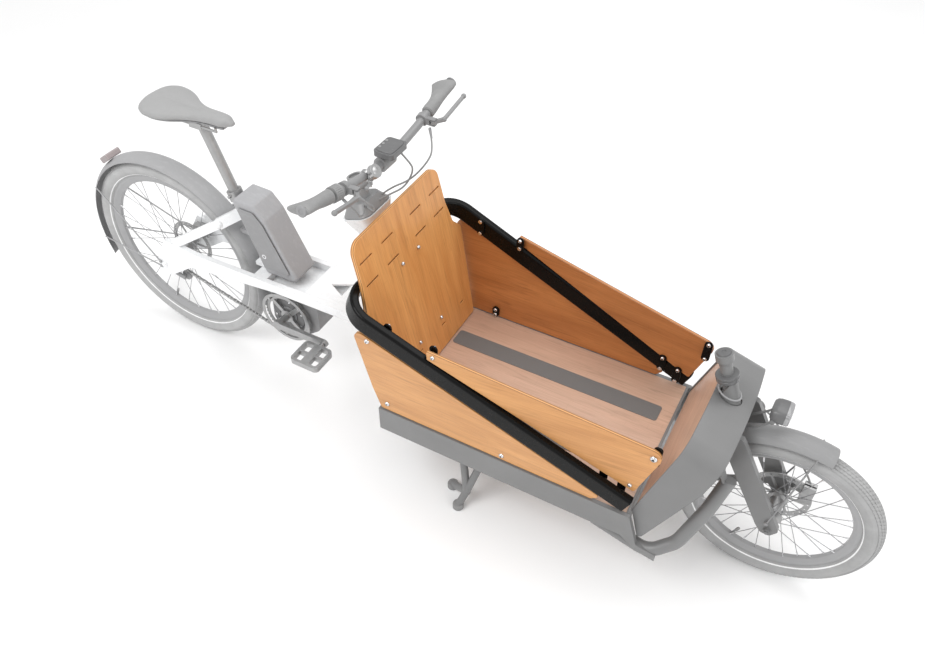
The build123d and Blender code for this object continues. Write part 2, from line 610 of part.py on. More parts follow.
def side_panel(points, radii, surface, side):
    """A flat panel on a tilted plane, through outline points given as (x, z)."""
    corner = [at(x, side * surface(x, z), z) for x, z in points]
    normal = (corner[1] - corner[0]).cross(corner[2] - corner[0]).normalized()
    if normal.Y * side < 0:
        normal = normal * -1
    plane = Plane(origin=corner[0], x_dir=corner[1] - corner[0], z_dir=normal)
    with BuildSketch(plane) as outline:
        with BuildLine():
            FilletPolyline(*[plane.to_local_coords(point) for point in corner], radius=radii, close=True)
        make_face()
    extrude(outline.sketch, amount=PANEL_T)


LOWER = [(1548, 317), (933, 317), (915, 397), (882, tube_z(882) - 32), (1570, tube_z(1570) - 32)]
UPPER = [(1640, tube_z(1640) + 33), (1092, tube_z(1092) + 33), (1090, 624), (1689, 529)]
for side, name in ((1, "left"), (-1, "right")):
    with BuildPart() as lower_panel:
        side_panel(LOWER, [8, 10, 60, 20, 8], lambda x, z: flare_y(z), side)
    save(lower_panel, f"lower_panel_{name}")
    with BuildPart() as upper_panel:
        side_panel(UPPER, [6, 3, 3, 25], toe_y, side)
    save(upper_panel, f"upper_panel_{name}")

# Tabs inside the panels tie them to the hoop tube.
TABS = [(973, 600, 640), (1040, 326, 344), (1100, 596, 622),
        (1560, 372, 412), (1608, 350, 392), (1668, 480, 530)]


def tab_y(x, low, high):
    """How far out a tab lies: against the panel or the tube, whichever is nearer the middle."""
    faces = [flare_y(low)]
    if x > 1080:
        faces.append(toe_y(x, high))
    if x < 1640:
        faces.append(tube_y(x) - 12)
    return min(faces)



with BuildPart() as panel_brackets:
    for side in (-1, 1):
        for x, low, high in TABS:
            face_y = tab_y(x, low, high)
            bar(at(x, side * (face_y - 3), low - 9), at(x, side * (face_y - 3), high + 9), 5, 22)
    for y in (-40, 40):
        bar(at(882, y, 652), at(838, y, 668), 24, 30)
save(panel_brackets, "panel_brackets")

with BuildPart() as panel_bolts:
    for side in (-1, 1):
        out = Vector(0, side, 0)
        for x, z in ((955, 345), (925, 590), (1300, 335)):
            face = at(x, side * (flare_y(z) + PANEL_T - 0.5), z)
            rod(face, face + out * 4, 7)
        for x, z in ((1664, 510), (1628, 398), (1108, 612)):
            face = at(x, side * (toe_y(x, z) + PANEL_T - 0.5), z)
            rod(face, face + out * 4, 9 if x == 1664 else 6)
        for x, low, high in TABS:
            face_y = tab_y(x, low, high)
            for z in (low, high):
                face = at(x, side * (face_y - 5.3), z)
                rod(face, face - out * 4, 6)
    for y, z in ((-40, 658), (40, 658), (-59, 412), (59, 412)):
        face = at(948 - BACK_LEAN * (z - 412), y, z)
        rod(face - Vector(0.5, 0, 0), face + Vector(4, 0, 1), 6)
save(panel_bolts, "panel_bolts")

# ---------------------------------------------------------------- steering
def across_column(z):
    """A plane square to the steering column, where the column passes a height."""
    return Plane(origin=at(rear_axis(z), 0, z), x_dir=(0, 1, 0), z_dir=FRONT_UP)


# The head tube widens into a shroud at its top.
SHROUD_FOOT, SHROUD_TOP = 664, 768
SHROUD_WIDE, SHROUD_LONG = 134, 98
with BuildPart() as rear_head_tube:
    with BuildSketch(across_column(SHROUD_FOOT)):
        RectangleRounded(2 * COLUMN_R + 2, 2 * COLUMN_R + 1, COLUMN_R)
    with BuildSketch(across_column(SHROUD_TOP)):
        RectangleRounded(SHROUD_WIDE, SHROUD_LONG, 30)
    loft()
    rod(at(rear_axis(232), 0, 232), at(rear_axis(SHROUD_TOP - 20), 0, SHROUD_TOP - 20), COLUMN_R)
    rod(at(rear_axis(200), 0, 200), at(rear_axis(800), 0, 800), STEERER_R + FIT, Mode.SUBTRACT)
save(rear_head_tube, "rear_head_tube")

ROD_REAR = (1776 - (FRONT_AXIS_FOOT - REAR_AXIS_FOOT), 92, 128)
ROD_FRONT = (1776, 92, 128)
PIVOT_R = 5


with BuildPart() as steering_column:
    rod(at(rear_axis(150), 0, 150), at(rear_axis(852), 0, 852), STEERER_R)
    rod(at(rear_axis(166), 0, 166), at(rear_axis(226), 0, 226), 21)
    arm_end = at(*ROD_REAR) + FRONT_UP * 22
    bar(at(rear_axis(180), 0, 180), arm_end, 26, 12)
    rod(at(*ROD_REAR) - FRONT_UP * 12, arm_end + FRONT_UP * 4, PIVOT_R)
save(steering_column, "steering_column")

with BuildPart() as tie_rod:
    for pivot in (ROD_REAR, ROD_FRONT):
        rod(at(*pivot) - FRONT_UP * 9, at(*pivot) + FRONT_UP * 9, 12)
    rod(at(*ROD_REAR), at(*ROD_FRONT), 6)
    for pivot in (ROD_REAR, ROD_FRONT):
        rod(at(*pivot) - FRONT_UP * 20, at(*pivot) + FRONT_UP * 20, PIVOT_R + FIT, Mode.SUBTRACT)
save(tie_rod, "tie_rod")

BLADE_IN, BLADE_OUT = 60, 76
BLADE = [(1768, 532), (1830, 532), (1984, 262), (1968, 236), (1944, 238), (1926, 262)]
with BuildPart() as fork:
    rod(at(front_axis(508), 0, 508), at(front_axis(700), 0, 700), STEERER_R)
    rod(at(front_axis(684), 0, 684), at(front_axis(702), 0, 702), 21)
    crown = at(front_axis(519) + 4, 0, 519)
    with Locations(Plane(origin=crown, x_dir=(0, 1, 0), z_dir=FRONT_UP).location):
        Box(2 * BLADE_OUT - 4, 52, 24)
    for side in (-1, 1):
        low, high = sorted((side * BLADE_IN, side * BLADE_OUT))
        round_plate(BLADE, [10, 14, 10, 10, 10, 10], low, high)
    rod(at(WHEELBASE, -88, FRONT_WHEEL_R), at(WHEELBASE, 88, FRONT_WHEEL_R), AXLE_R)
    for side in (-1, 1):
        rod(at(WHEELBASE, side * BLADE_OUT, FRONT_WHEEL_R), at(WHEELBASE, side * 84, FRONT_WHEEL_R), 9)
    arm_low = at(*ROD_FRONT) + FRONT_UP * 24
    arm_high = at(1945, 84, 262)
    bar(arm_low, arm_high, 9, 18)
    rod(at(*ROD_FRONT) - FRONT_UP * 12, arm_low + FRONT_UP * 6, PIVOT_R)
save(fork, "fork")

with BuildPart() as front_fender:
    fender(WHEELBASE, FRONT_WHEEL_R, FRONT_FENDER_R, 74, 166)
    for side in (-1, 1):
        lug = at(1950, side * (BLADE_OUT + 4), 282)
        rod(lug, on_wheel(WHEELBASE, FRONT_WHEEL_R, FRONT_FENDER_R - 14, 82, side * 34), 2.2)
        rod(lug - Vector(0, side * 4, 0), lug + Vector(0, side * 3, 0), 5)
save(front_fender, "front_fender")

LAMP = at(1884, 0, 589)
with BuildPart() as headlight:
    with Locations(LAMP):
        Box(46, 62, 42)
    fillet(headlight.edges().filter_by(Axis.Y), 9)
    for side in (-1, 1):
        tube_along([at(1812, side * 20, 518), at(1846, side * 26, 532), at(1874, side * 26, 572)], [25], 3)
save(headlight, "headlight")

with BuildPart() as front_caliper:
    block(at(2002, 38, 270), at(2032, BLADE_IN - 0.3, 330))
    block(at(1960, ROTOR_Y - 2.5, 250), at(2046, ROTOR_Y + 2.5, 335), Mode.SUBTRACT)
    bar(at(1972, 66, 300), at(2010, 54, 300), 10, 30)
save(front_caliper, "front_caliper")

with BuildPart() as front_hose:
    points = [at(1822, 66, 516), at(1858, 84, 492), at(1900, 90, 440), at(1944, 90, 380), at(1998, 76, 342),
              at(2016, 52, 328)]
    tube_along(points, easy_radii(points), 2.5)
save(front_hose, "front_hose")

# ---------------------------------------------------------------- handlebar
BAR_ROUTE = [at(829, -HALF_BAR, 984), at(832, -150, 950), at(829, -45, 930), at(829, 45, 930),
             at(832, 150, 950), at(829, HALF_BAR, 984)]


def on_bar(y, left):
    """A point on the straight outer part of the bar, and the outward direction there."""
    side = 1 if left else -1
    inner, outer = at(832, side * 150, 950), at(829, side * HALF_BAR, 984)
    along = (outer - inner).normalized()
    return outer - along * (HALF_BAR - y), along


with BuildPart() as handlebar:
    tube_along(BAR_ROUTE, [120, 160, 160, 120], BAR_R)
save(handlebar, "handlebar")

STEM_BASE = at(rear_axis(826), 0, 826)
BAR_CENTRE = at(829, 0, 930)
# The stem clamps the column over a cover that takes the leads in.
with BuildPart() as stem:
    with BuildSketch(across_column(SHROUD_TOP + 1.5)):
        RectangleRounded(SHROUD_WIDE - 8, SHROUD_LONG - 8, 28)
    with BuildSketch(across_column(SHROUD_TOP + 30)):
        RectangleRounded(84, 66, 24)
    loft()
    rod(at(rear_axis(790), 0, 790), at(rear_axis(856), 0, 856), 21)
    rod(STEM_BASE, BAR_CENTRE, 15)
    rod(BAR_CENTRE - Vector(0, 23, 0), BAR_CENTRE + Vector(0, 23, 0), 19)
    rod(BAR_CENTRE - Vector(0, 40, 0), BAR_CENTRE + Vector(0, 40, 0), BAR_R, Mode.SUBTRACT)
    rod(at(rear_axis(760), 0, 760), at(rear_axis(870), 0, 870), STEERER_R, Mode.SUBTRACT)
save(stem, "stem")

for left, name, start in ((True, "grip_left", 196), (False, "grip_right", 226)):
    inner, along = on_bar(start, left)
    outer = on_bar(HALF_BAR, left)[0]
    with BuildPart() as grip:
        rod(inner, outer + along * 3, 16)
        rod(inner - along * 5, outer, BAR_R, Mode.SUBTRACT)
    save(grip, name)

inner, along = on_bar(192, False)
outer = on_bar(225, False)[0]
with BuildPart() as twist_shifter:
    rod(inner, outer, 19)
    rod(inner - along * 5, outer + along * 5, BAR_R + FIT, Mode.SUBTRACT)
save(twist_shifter, "twist_shifter")

LEVER_PIVOT = {}
with BuildPart() as lever_clamps:
    for left in (True, False):
        inner, along = on_bar(168, left)
        outer = on_bar(182, left)[0]
        pivot = on_bar(172, left)[0] + Vector(34, 0, 2)
        LEVER_PIVOT[left] = pivot
        rod(inner, outer, 17)
        bar((inner + outer) / 2, pivot - Vector(9, 0, 0), 14, 18)
        for low, high in ((-9.2, -5.9), (5.9, 9.2)):
            block(pivot + Vector(-13, -7, low), pivot + Vector(6, 7, high))
        rod(inner - along * 3, outer + along * 3, BAR_R, Mode.SUBTRACT)
        rod(pivot - Vector(0, 0, 9), pivot + Vector(0, 0, 9), 3)
save(lever_clamps, "lever_clamps")

for left, name in ((True, "brake_lever_left"), (False, "brake_lever_right")):
    side = 1 if left else -1
    pivot = LEVER_PIVOT[left]
    knuckle = pivot + Vector(18, side * 22, 2)
    tip = pivot + Vector(22, side * 118, 22)
    with BuildPart() as brake_lever:
        rod(pivot - Vector(0, 0, 5), pivot + Vector(0, 0, 5), 8)
        bar(pivot, knuckle, 9, 9)
        with Locations(knuckle):
            Sphere(7)
        bar(knuckle, tip, 9, 8)
        with Locations(tip):
            Sphere(7)
        rod(pivot - Vector(0, 0, 12), pivot + Vector(0, 0, 12), 3 + FIT, Mode.SUBTRACT)
    save(brake_lever, name)

with BuildPart() as display:
    with Locations(at(846, 0, 968)):
        Box(56, 74, 14)
    fillet(display.edges().filter_by(Axis.Z), 10)
    block(at(822, -20, 949.1), at(842, 20, 962))
save(display, "display")

bell_foot = at(830, -86, 938)
BELL_PIVOT = bell_foot + Vector(30, -26, 2)
with BuildPart() as bell:
    rod(bell_foot + Vector(0, -5, -1), bell_foot + Vector(0, 5, 1), 15)
    rod(bell_foot + Vector(12, 0, 8), bell_foot + Vector(22, 0, 16), 6)
    rod(bell_foot + Vector(20, 0, 14), bell_foot + Vector(30, 0, 22), 17)
    rod(bell_foot + Vector(0, -9, -2), bell_foot + Vector(0, 9, 2), BAR_R, Mode.SUBTRACT)
    rod(bell_foot + Vector(8, -2, 4), BELL_PIVOT - Vector(0, 0, 9), 3)
    rod(BELL_PIVOT - Vector(0, 0, 10), BELL_PIVOT + Vector(0, 0, 6), 2)
save(bell, "bell")

with BuildPart() as bell_lever:
    rod(BELL_PIVOT - Vector(0, 0, 3), BELL_PIVOT + Vector(0, 0, 4), 5)
    bar(BELL_PIVOT, BELL_PIVOT + Vector(4, -22, 2), 4, 7)
    with Locations(BELL_PIVOT + Vector(5, -24, 2)):
        Sphere(5)
    rod(BELL_PIVOT - Vector(0, 0, 8), BELL_PIVOT + Vector(0, 0, 8), 2 + FIT, Mode.SUBTRACT)
save(bell_lever, "bell_lever")

# Four leads loop from the bar's controls down into the guide on the column.
with BuildPart() as control_leads:
    guide = at(rear_axis(782), 0, 782)
    for start, mid, low, y_end in (((858, -168, 938), (872, -120, 880), (796, -48, 812), -12),
                                   ((858, 168, 938), (880, 116, 876), (798, 46, 810), 12),
                                   ((836, -188, 930), (846, -150, 862), (786, -50, 822), -22),
                                   ((846, 22, 961), (888, 36, 900), (818, 26, 812), 4)):
        end = guide + Vector(16, y_end, 0)
        points = [at(*start), at(*start) * 0.5 + at(*mid) * 0.5 + Vector(14, 0, -4), at(*mid),
                  at(*mid) * 0.5 + at(*low) * 0.5 + Vector(10, 0, -10), at(*low), end]
        tube_along(points, easy_radii(points), 2.3)
save(control_leads, "control_leads")

# ---------------------------------------------------------------- stand
with BuildPart() as stand:
    rod(at(HINGE_X, -190, HINGE_Z), at(HINGE_X, 190, HINGE_Z), HINGE_R)
    for side in (-1, 1):
        top = at(HINGE_X, side * 172, HINGE_Z)
        knee = at(1184, side * 212, 52)
        toe = at(1172, side * 240, 13)
        heel = at(1124, side * 184, 13)
        brace_top = at(1222, side * 172, 206)
        for start in (top, brace_top, toe, heel):
            rod(start, knee, 11)
        for joint, joint_r in ((top, 11.6), (knee, 12.4), (brace_top, 11.7)):
            with Locations(joint):
                Sphere(joint_r)
        for foot in (toe, heel):
            with Locations(Vector(foot.X, foot.Y, 9)):
                Cylinder(14, 18)
save(stand, "stand")

print(len(NODES), "nodes")
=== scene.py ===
import json
from math import acos, atan2, cos, pi, radians, sin, tan, tau

import bmesh
import bpy
import numpy as np
from mathutils import Matrix, Vector


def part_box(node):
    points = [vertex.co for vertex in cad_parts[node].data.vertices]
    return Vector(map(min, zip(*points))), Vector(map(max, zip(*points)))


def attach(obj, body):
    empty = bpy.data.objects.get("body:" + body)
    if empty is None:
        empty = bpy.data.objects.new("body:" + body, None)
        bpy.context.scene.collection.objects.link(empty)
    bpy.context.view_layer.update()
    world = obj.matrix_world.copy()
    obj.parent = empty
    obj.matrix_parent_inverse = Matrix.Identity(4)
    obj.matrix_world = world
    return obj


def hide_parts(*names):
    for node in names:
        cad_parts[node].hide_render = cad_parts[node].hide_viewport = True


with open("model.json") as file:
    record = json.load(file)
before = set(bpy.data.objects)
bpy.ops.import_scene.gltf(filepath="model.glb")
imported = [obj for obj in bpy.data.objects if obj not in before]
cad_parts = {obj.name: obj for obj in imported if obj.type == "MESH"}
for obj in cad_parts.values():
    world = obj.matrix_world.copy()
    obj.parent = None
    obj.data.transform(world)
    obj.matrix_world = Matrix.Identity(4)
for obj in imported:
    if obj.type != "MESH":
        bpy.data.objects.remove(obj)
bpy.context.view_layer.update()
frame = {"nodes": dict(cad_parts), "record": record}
nodes = frame["nodes"]

# Driving places, in metres, as the CAD has them.
MIDDLE = 0.931
REAR_AXLE = Vector((-MIDDLE, 0, 0.334))
FRONT_AXLE = Vector((1.958 - MIDDLE, 0, 0.256))
REAR_TYRE_R, FRONT_TYRE_R = 0.334, 0.256


def at(x, y, z):
    """A place given in millimetres from the rear axle, along the ground line."""
    return Vector((x / 1000 - MIDDLE, y / 1000, z / 1000))


# Camera, floor and light.

def make_camera():
    data = bpy.data.cameras.new("camera")
    data.lens = 32.12
    data.sensor_width = 36
    data.shift_x = 0.0172
    data.shift_y = 0.0231
    camera = bpy.data.objects.new("camera", data)
    turn = Matrix.Rotation(radians(29.46), 4, "Z") @ Matrix.Rotation(radians(44.9), 4, "X")
    tilt = Matrix.Rotation(radians(-0.21), 4, "Z")
    camera.matrix_world = Matrix.Translation((0.8871, -1.4493, 2.0395)) @ turn @ tilt
    bpy.context.scene.collection.objects.link(camera)
    bpy.context.scene.camera = camera


def area_light(name, place, target, size, power, tint=(1, 1, 1)):
    data = bpy.data.lights.new(name, "AREA")
    data.size = size
    data.energy = power
    data.color = tint
    lamp = bpy.data.objects.new(name, data)
    aim = (Vector(target) - Vector(place)).to_track_quat("-Z", "Y")
    lamp.matrix_world = Matrix.Translation(place) @ aim.to_matrix().to_4x4()
    bpy.context.scene.collection.objects.link(lamp)


def make_lights():
    world = bpy.data.worlds.new("studio")
    world.use_nodes = True
    world.node_tree.nodes["Background"].inputs[0].default_value = (1, 1, 1, 1)
    world.node_tree.nodes["Background"].inputs[1].default_value = 0.8
    bpy.context.scene.world = world
    bpy.context.scene.view_settings.view_transform = "Standard"
    area_light("key", (-1.4, -2.6, 4.0), (0, 0, 0.3), 2.4, 95)
    area_light("top", (0.8, 1.6, 4.6), (0, 0, 0.3), 3.4, 75)
    area_light("front", (4.0, -1.0, 2.2), (0.4, 0, 0.4), 2.2, 35)


# Procedural materials.

class Look:
    """One procedural material: a principled shader and the texture nodes that feed it."""

    def __init__(self, name, rough=0.5, metal=0.0, coat=0.0, specular=0.5):
        self.material = bpy.data.materials.new(name)
        self.material.use_nodes = True
        self.tree = self.material.node_tree
        self.shader = self.tree.nodes["Principled BSDF"]
        self.set(self.shader, "Roughness", rough)
        self.set(self.shader, "Metallic", metal)
        self.set(self.shader, "Coat Weight", coat)
        self.set(self.shader, "Coat Roughness", 0.12)
        self.set(self.shader, "Specular IOR Level", specular)
        self.place = self.add("ShaderNodeTexCoord").outputs["Object"]
        self.height = None

    def add(self, kind, **settings):
        node = self.tree.nodes.new(kind)
        for key, value in settings.items():
            setattr(node, key, value)
        return node

    def set(self, node, socket, value):
        """Sets a socket to a number or a colour, or links another node's output to it."""
        if isinstance(value, bpy.types.NodeSocket):
            self.tree.links.new(value, node.inputs[socket])
        elif isinstance(value, (tuple, list)) and len(value) == 3 and node.inputs[socket].type == "RGBA":
            node.inputs[socket].default_value = (*value, 1)
        else:
            node.inputs[socket].default_value = value

    def scaled(self, scale, turn=(0, 0, 0), source=None):
        node = self.add("ShaderNodeMapping")
        self.set(node, "Vector", source or self.place)
        self.set(node, "Rotation", turn)
        self.set(node, "Scale", scale if isinstance(scale, (tuple, list)) else (scale,) * 3)
        return node.outputs[0]

    def noise(self, scale, detail=4.0, rough=0.6, source=None, distortion=0.0):
        node = self.add("ShaderNodeTexNoise")
        self.set(node, "Vector", self.scaled(scale, source=source))
        self.set(node, "Scale", 1.0)
        self.set(node, "Detail", detail)
        self.set(node, "Roughness", rough)
        self.set(node, "Distortion", distortion)
        return node.outputs[0]

    def cells(self, scale, feature="F1", source=None):
        node = self.add("ShaderNodeTexVoronoi", feature=feature)
        self.set(node, "Vector", self.scaled(scale, source=source))
        self.set(node, "Scale", 1.0)
        return node.outputs["Distance"]

    def math(self, operation, *values):
        node = self.add("ShaderNodeMath", operation=operation)
        for index, value in enumerate(values):
            self.set(node, index, value)
        return node.outputs[0]

    def span(self, value, low, high, out_low=0.0, out_high=1.0):
        node = self.add("ShaderNodeMapRange")
        for index, number in enumerate((value, low, high, out_low, out_high)):
            self.set(node, index, number)
        return node.outputs[0]

    def dot(self, vector, direction):
        node = self.add("ShaderNodeVectorMath", operation="DOT_PRODUCT")
        self.set(node, 0, vector)
        self.set(node, 1, tuple(direction))
        return node.outputs["Value"]

    def mix(self, factor, first, second):
        node = self.add("ShaderNodeMix", data_type="RGBA")
        self.set(node, "Factor", factor)
        for socket, colour in (("A", first), ("B", second)):
            target = [s for s in node.inputs if s.name == socket and s.type == "RGBA"][0]
            if isinstance(colour, bpy.types.NodeSocket):
                self.tree.links.new(colour, target)
            else:
                target.default_value = (*colour, 1)
        return [s for s in node.outputs if s.type == "RGBA"][0]

    def colour(self, value):
        self.set(self.shader, "Base Color", value)

    def bump(self, height, distance, strength=1.0):
        """Adds a bump layer on top of the ones before it. distance is in metres."""
        node = self.add("ShaderNodeBump")
        self.set(node, "Height", height)
        self.set(node, "Distance", distance)
        self.set(node, "Strength", strength)
        if self.height is not None:
            self.set(node, "Normal", self.height)
        self.height = node.outputs[0]
        self.set(self.shader, "Normal", self.height)


def shade(colour, amount):
    return tuple(min(1.0, c * amount) for c in colour)


def rounded_edges(look, radius):
    """Softens the hard CAD edges in the shading, as a real edge catches the light."""
    node = look.add("ShaderNodeBevel", samples=4)
    look.set(node, "Radius", radius)
    look.height = node.outputs[0]


def powder_coat(name, colour, rough, coat=0.0, peel=0.00012, specular=0.5):
    """Painted metal: slight tone drift, an orange peel surface and faint rubbed patches."""
    look = Look(name, rough, coat=coat, specular=specular)
    rounded_edges(look, 0.0022)
    drift = look.noise(5, 3)
    look.colour(look.mix(look.span(drift, 0.3, 0.7), shade(colour, 0.93), shade(colour, 1.05)))
    rub = look.span(look.noise(34, 6, 0.7), 0.35, 0.75, rough * 0.85, rough * 1.25)
    look.set(look.shader, "Roughness", rub)
    look.bump(look.noise(520, 2), peel)
    return look.material


def moulded_plastic(name, colour, rough, grain=700, depth=0.00016):
    """Moulded plastic: a spark-eroded grain with faint scuffs."""
    look = Look(name, rough, specular=0.4)
    rounded_edges(look, 0.0016)
    scuff = look.span(look.noise((30, 90, 60), 6, 0.7), 0.52, 0.72)
    look.colour(look.mix(scuff, colour, shade(colour, 1.14)))
    look.set(look.shader, "Roughness", look.span(look.noise(60, 4), 0.3, 0.7, rough * 0.9, rough * 1.15))
    look.bump(look.cells(grain), depth)
    return look.material


def rubber(name, colour, rough=0.82, grain=420, depth=0.0002):
    """Rubber: matt, with a bloom of lighter dust and a fine uneven skin."""
    look = Look(name, rough, specular=0.3)
    bloom = look.span(look.noise(22, 5, 0.65), 0.4, 0.75)
    look.colour(look.mix(bloom, shade(colour, 0.94), shade(colour, 1.12)))
    look.bump(look.noise(grain, 4, 0.7), depth)
    return look.material


def brushed_metal(name, colour, rough, along=(4, 900, 900), coat=0.0):
    """Machined or brushed metal: fine lines, tone drift and a little tarnish."""
    look = Look(name, rough, metal=1.0, coat=coat)
    rounded_edges(look, 0.0009)
    lines = look.noise(along, 3, 0.7)
    tarnish = look.span(look.noise(45, 6, 0.7), 0.5, 0.8)
    look.colour(look.mix(tarnish, colour, shade(colour, 0.82)))
    look.set(look.shader, "Roughness", look.span(lines, 0.3, 0.7, rough * 0.7, rough * 1.35))
    look.bump(lines, 0.00004)
    return look.material


def face_normal(node):
    """The normal of a board's wide faces: the direction that holds most of its area."""
    mesh = nodes[node].data
    best, normal = 0, Vector((0, 0, 1))
    for polygon in mesh.polygons:
        if polygon.area > best:
            best, normal = polygon.area, polygon.normal.copy()
    return normal


def bamboo_board(name, node, light, dark, grain, strip=0.019):
    """Lacquered bamboo ply: strips glued side by side, long fibres, knuckle lines and layered edges."""
    look = Look(name, 0.42, coat=0.12, specular=0.45)
    rounded_edges(look, 0.002)
    normal = face_normal(node)
    grain = (Vector(grain) - normal * Vector(grain).dot(normal)).normalized()
    across = normal.cross(grain).normalized()
    along_place = look.dot(look.place, grain)
    across_place = look.dot(look.place, across)
    depth_place = look.dot(look.place, normal)

    def spread(scale_along, scale_across):
        node_out = look.add("ShaderNodeCombineXYZ")
        look.set(node_out, 0, look.math("MULTIPLY", along_place, scale_along))
        look.set(node_out, 1, look.math("MULTIPLY", across_place, scale_across))
        look.set(node_out, 2, look.math("MULTIPLY", depth_place, scale_across * 0.2))
        return node_out.outputs[0]

    strip_number = look.math("FLOOR", look.math("DIVIDE", across_place, strip))
    strip_tone = look.add("ShaderNodeTexWhiteNoise", noise_dimensions="1D")
    look.set(strip_tone, "W", strip_number)
    tone = strip_tone.outputs["Value"]
    fibre = look.noise(1, 5, 0.65, source=spread(9, 420), distortion=0.3)
    cloud = look.noise(1, 4, 0.6, source=spread(2.6, 17), distortion=0.5)
    figure = look.noise(1, 3, 0.6, source=spread(5, 60), distortion=1.2)
    body = look.mix(look.span(cloud, 0.3, 0.72), light, dark)
    body = look.mix(look.span(tone, 0, 1, 0.0, 0.22), body, shade(dark, 0.86))
    body = look.mix(look.span(fibre, 0.45, 0.8, 0.0, 0.6), body, shade(dark, 0.66))
    body = look.mix(look.span(figure, 0.54, 0.76, 0.0, 0.55), body, shade(dark, 0.6))
    shifted = look.math("ADD", along_place, look.math("MULTIPLY", tone, 0.37))
    knuckle = look.math("PINGPONG", shifted, 0.165)
    knuckle = look.span(knuckle, 0.0, 0.0016, 0.14, 0.0)
    body = look.mix(knuckle, body, shade(dark, 0.55))
    facing = look.math("ABSOLUTE", look.dot(look.add("ShaderNodeNewGeometry").outputs["True Normal"], normal))
    edge = look.span(facing, 0.45, 0.55, 1.0, 0.0)
    ply = look.math("PINGPONG", depth_place, 0.003)
    plies = look.mix(look.span(ply, 0.001, 0.002), shade(dark, 0.55), shade(light, 1.02))
    look.colour(look.mix(edge, body, plies))
    seam = look.math("PINGPONG", across_place, strip / 2)
    look.bump(look.span(seam, 0.0, 0.0004), 0.00012)
    look.bump(fibre, 0.00018)
    look.set(look.shader, "Roughness", look.span(fibre, 0.3, 0.8, 0.34, 0.55))
    return look.material


def grit_strip(name, colour):
    """Anti-slip sheet: mineral grit with small bright grains."""
    look = Look(name, 0.9, specular=0.3)
    grains = look.cells(900)
    look.colour(look.mix(look.span(grains, 0.1, 0.4), shade(colour, 1.5), shade(colour, 0.85)))
    look.bump(grains, 0.0006)
    return look.material


def grained_cover(name, colour):
    """Saddle cover: leather grain cells, with painted shade in the creases between them, and a soft sheen on
    the crown.
    """
    look = Look(name, 0.55, specular=0.4)
    cell = look.cells(560, "DISTANCE_TO_EDGE")
    # The cell borders, which the bump sinks into creases, are painted darker: painted shade in the creases.
    look.colour(look.mix(look.span(cell, 0.0, 0.12), shade(colour, 0.84), colour))
    look.set(look.shader, "Roughness", look.span(look.noise(24, 4), 0.3, 0.7, 0.45, 0.66))
    look.bump(look.span(cell, 0.0, 0.16), 0.0003)
    return look.material


def clear_lens(name, colour, rough=0.12):
    """A ribbed lens: clear tinted plastic over fine prisms, with painted shade in the rib valleys and a
    painted highlight on the crests.
    """
    look = Look(name, rough, coat=0.6)
    ribs = look.math("PINGPONG", look.dot(look.place, (0, 1, 0)), 0.002)
    # The colour follows the ribs' height: painted shade in the valleys, painted highlight on the crests.
    look.colour(look.mix(look.span(ribs, 0.0, 0.002), shade(colour, 0.75), shade(colour, 1.15)))
    look.bump(ribs, 0.0012)
    return look.material


def pale_floor(name):
    look = Look(name, 0.8, specular=0.1)
    look.colour(look.mix(look.span(look.noise(0.8, 3), 0.3, 0.7), (0.93, 0.93, 0.93), (0.96, 0.96, 0.96)))
    look.bump(look.noise(60, 3), 0.0002)
    return look.material


def make_floor():
    mesh = bpy.data.meshes.new("floor")
    reach = 14
    mesh.from_pydata([(-reach, -reach, 0), (reach, -reach, 0), (reach, reach, 0), (-reach, reach, 0)],
                     [], [(0, 1, 2, 3)])
    mesh.materials.append(pale_floor("floor_look"))
    floor = bpy.data.objects.new("floor", mesh)
    bpy.context.scene.collection.objects.link(floor)


WOOD_LIGHT, WOOD_DARK = (0.82, 0.41, 0.14), (0.64, 0.275, 0.08)
# The side panels are the same bamboo as the back panel, painted darker: painted shade, deepest on the far
# panels' inner faces.
NEAR_PAINTED_SHADE_LIGHT, NEAR_PAINTED_SHADE_DARK = (0.71, 0.36, 0.135), (0.54, 0.25, 0.085)
FAR_PAINTED_SHADE_LIGHT, FAR_PAINTED_SHADE_DARK = (0.60, 0.25, 0.08), (0.42, 0.155, 0.045)
PALE_LIGHT, PALE_DARK = (0.68, 0.46, 0.34), (0.58, 0.38, 0.275)

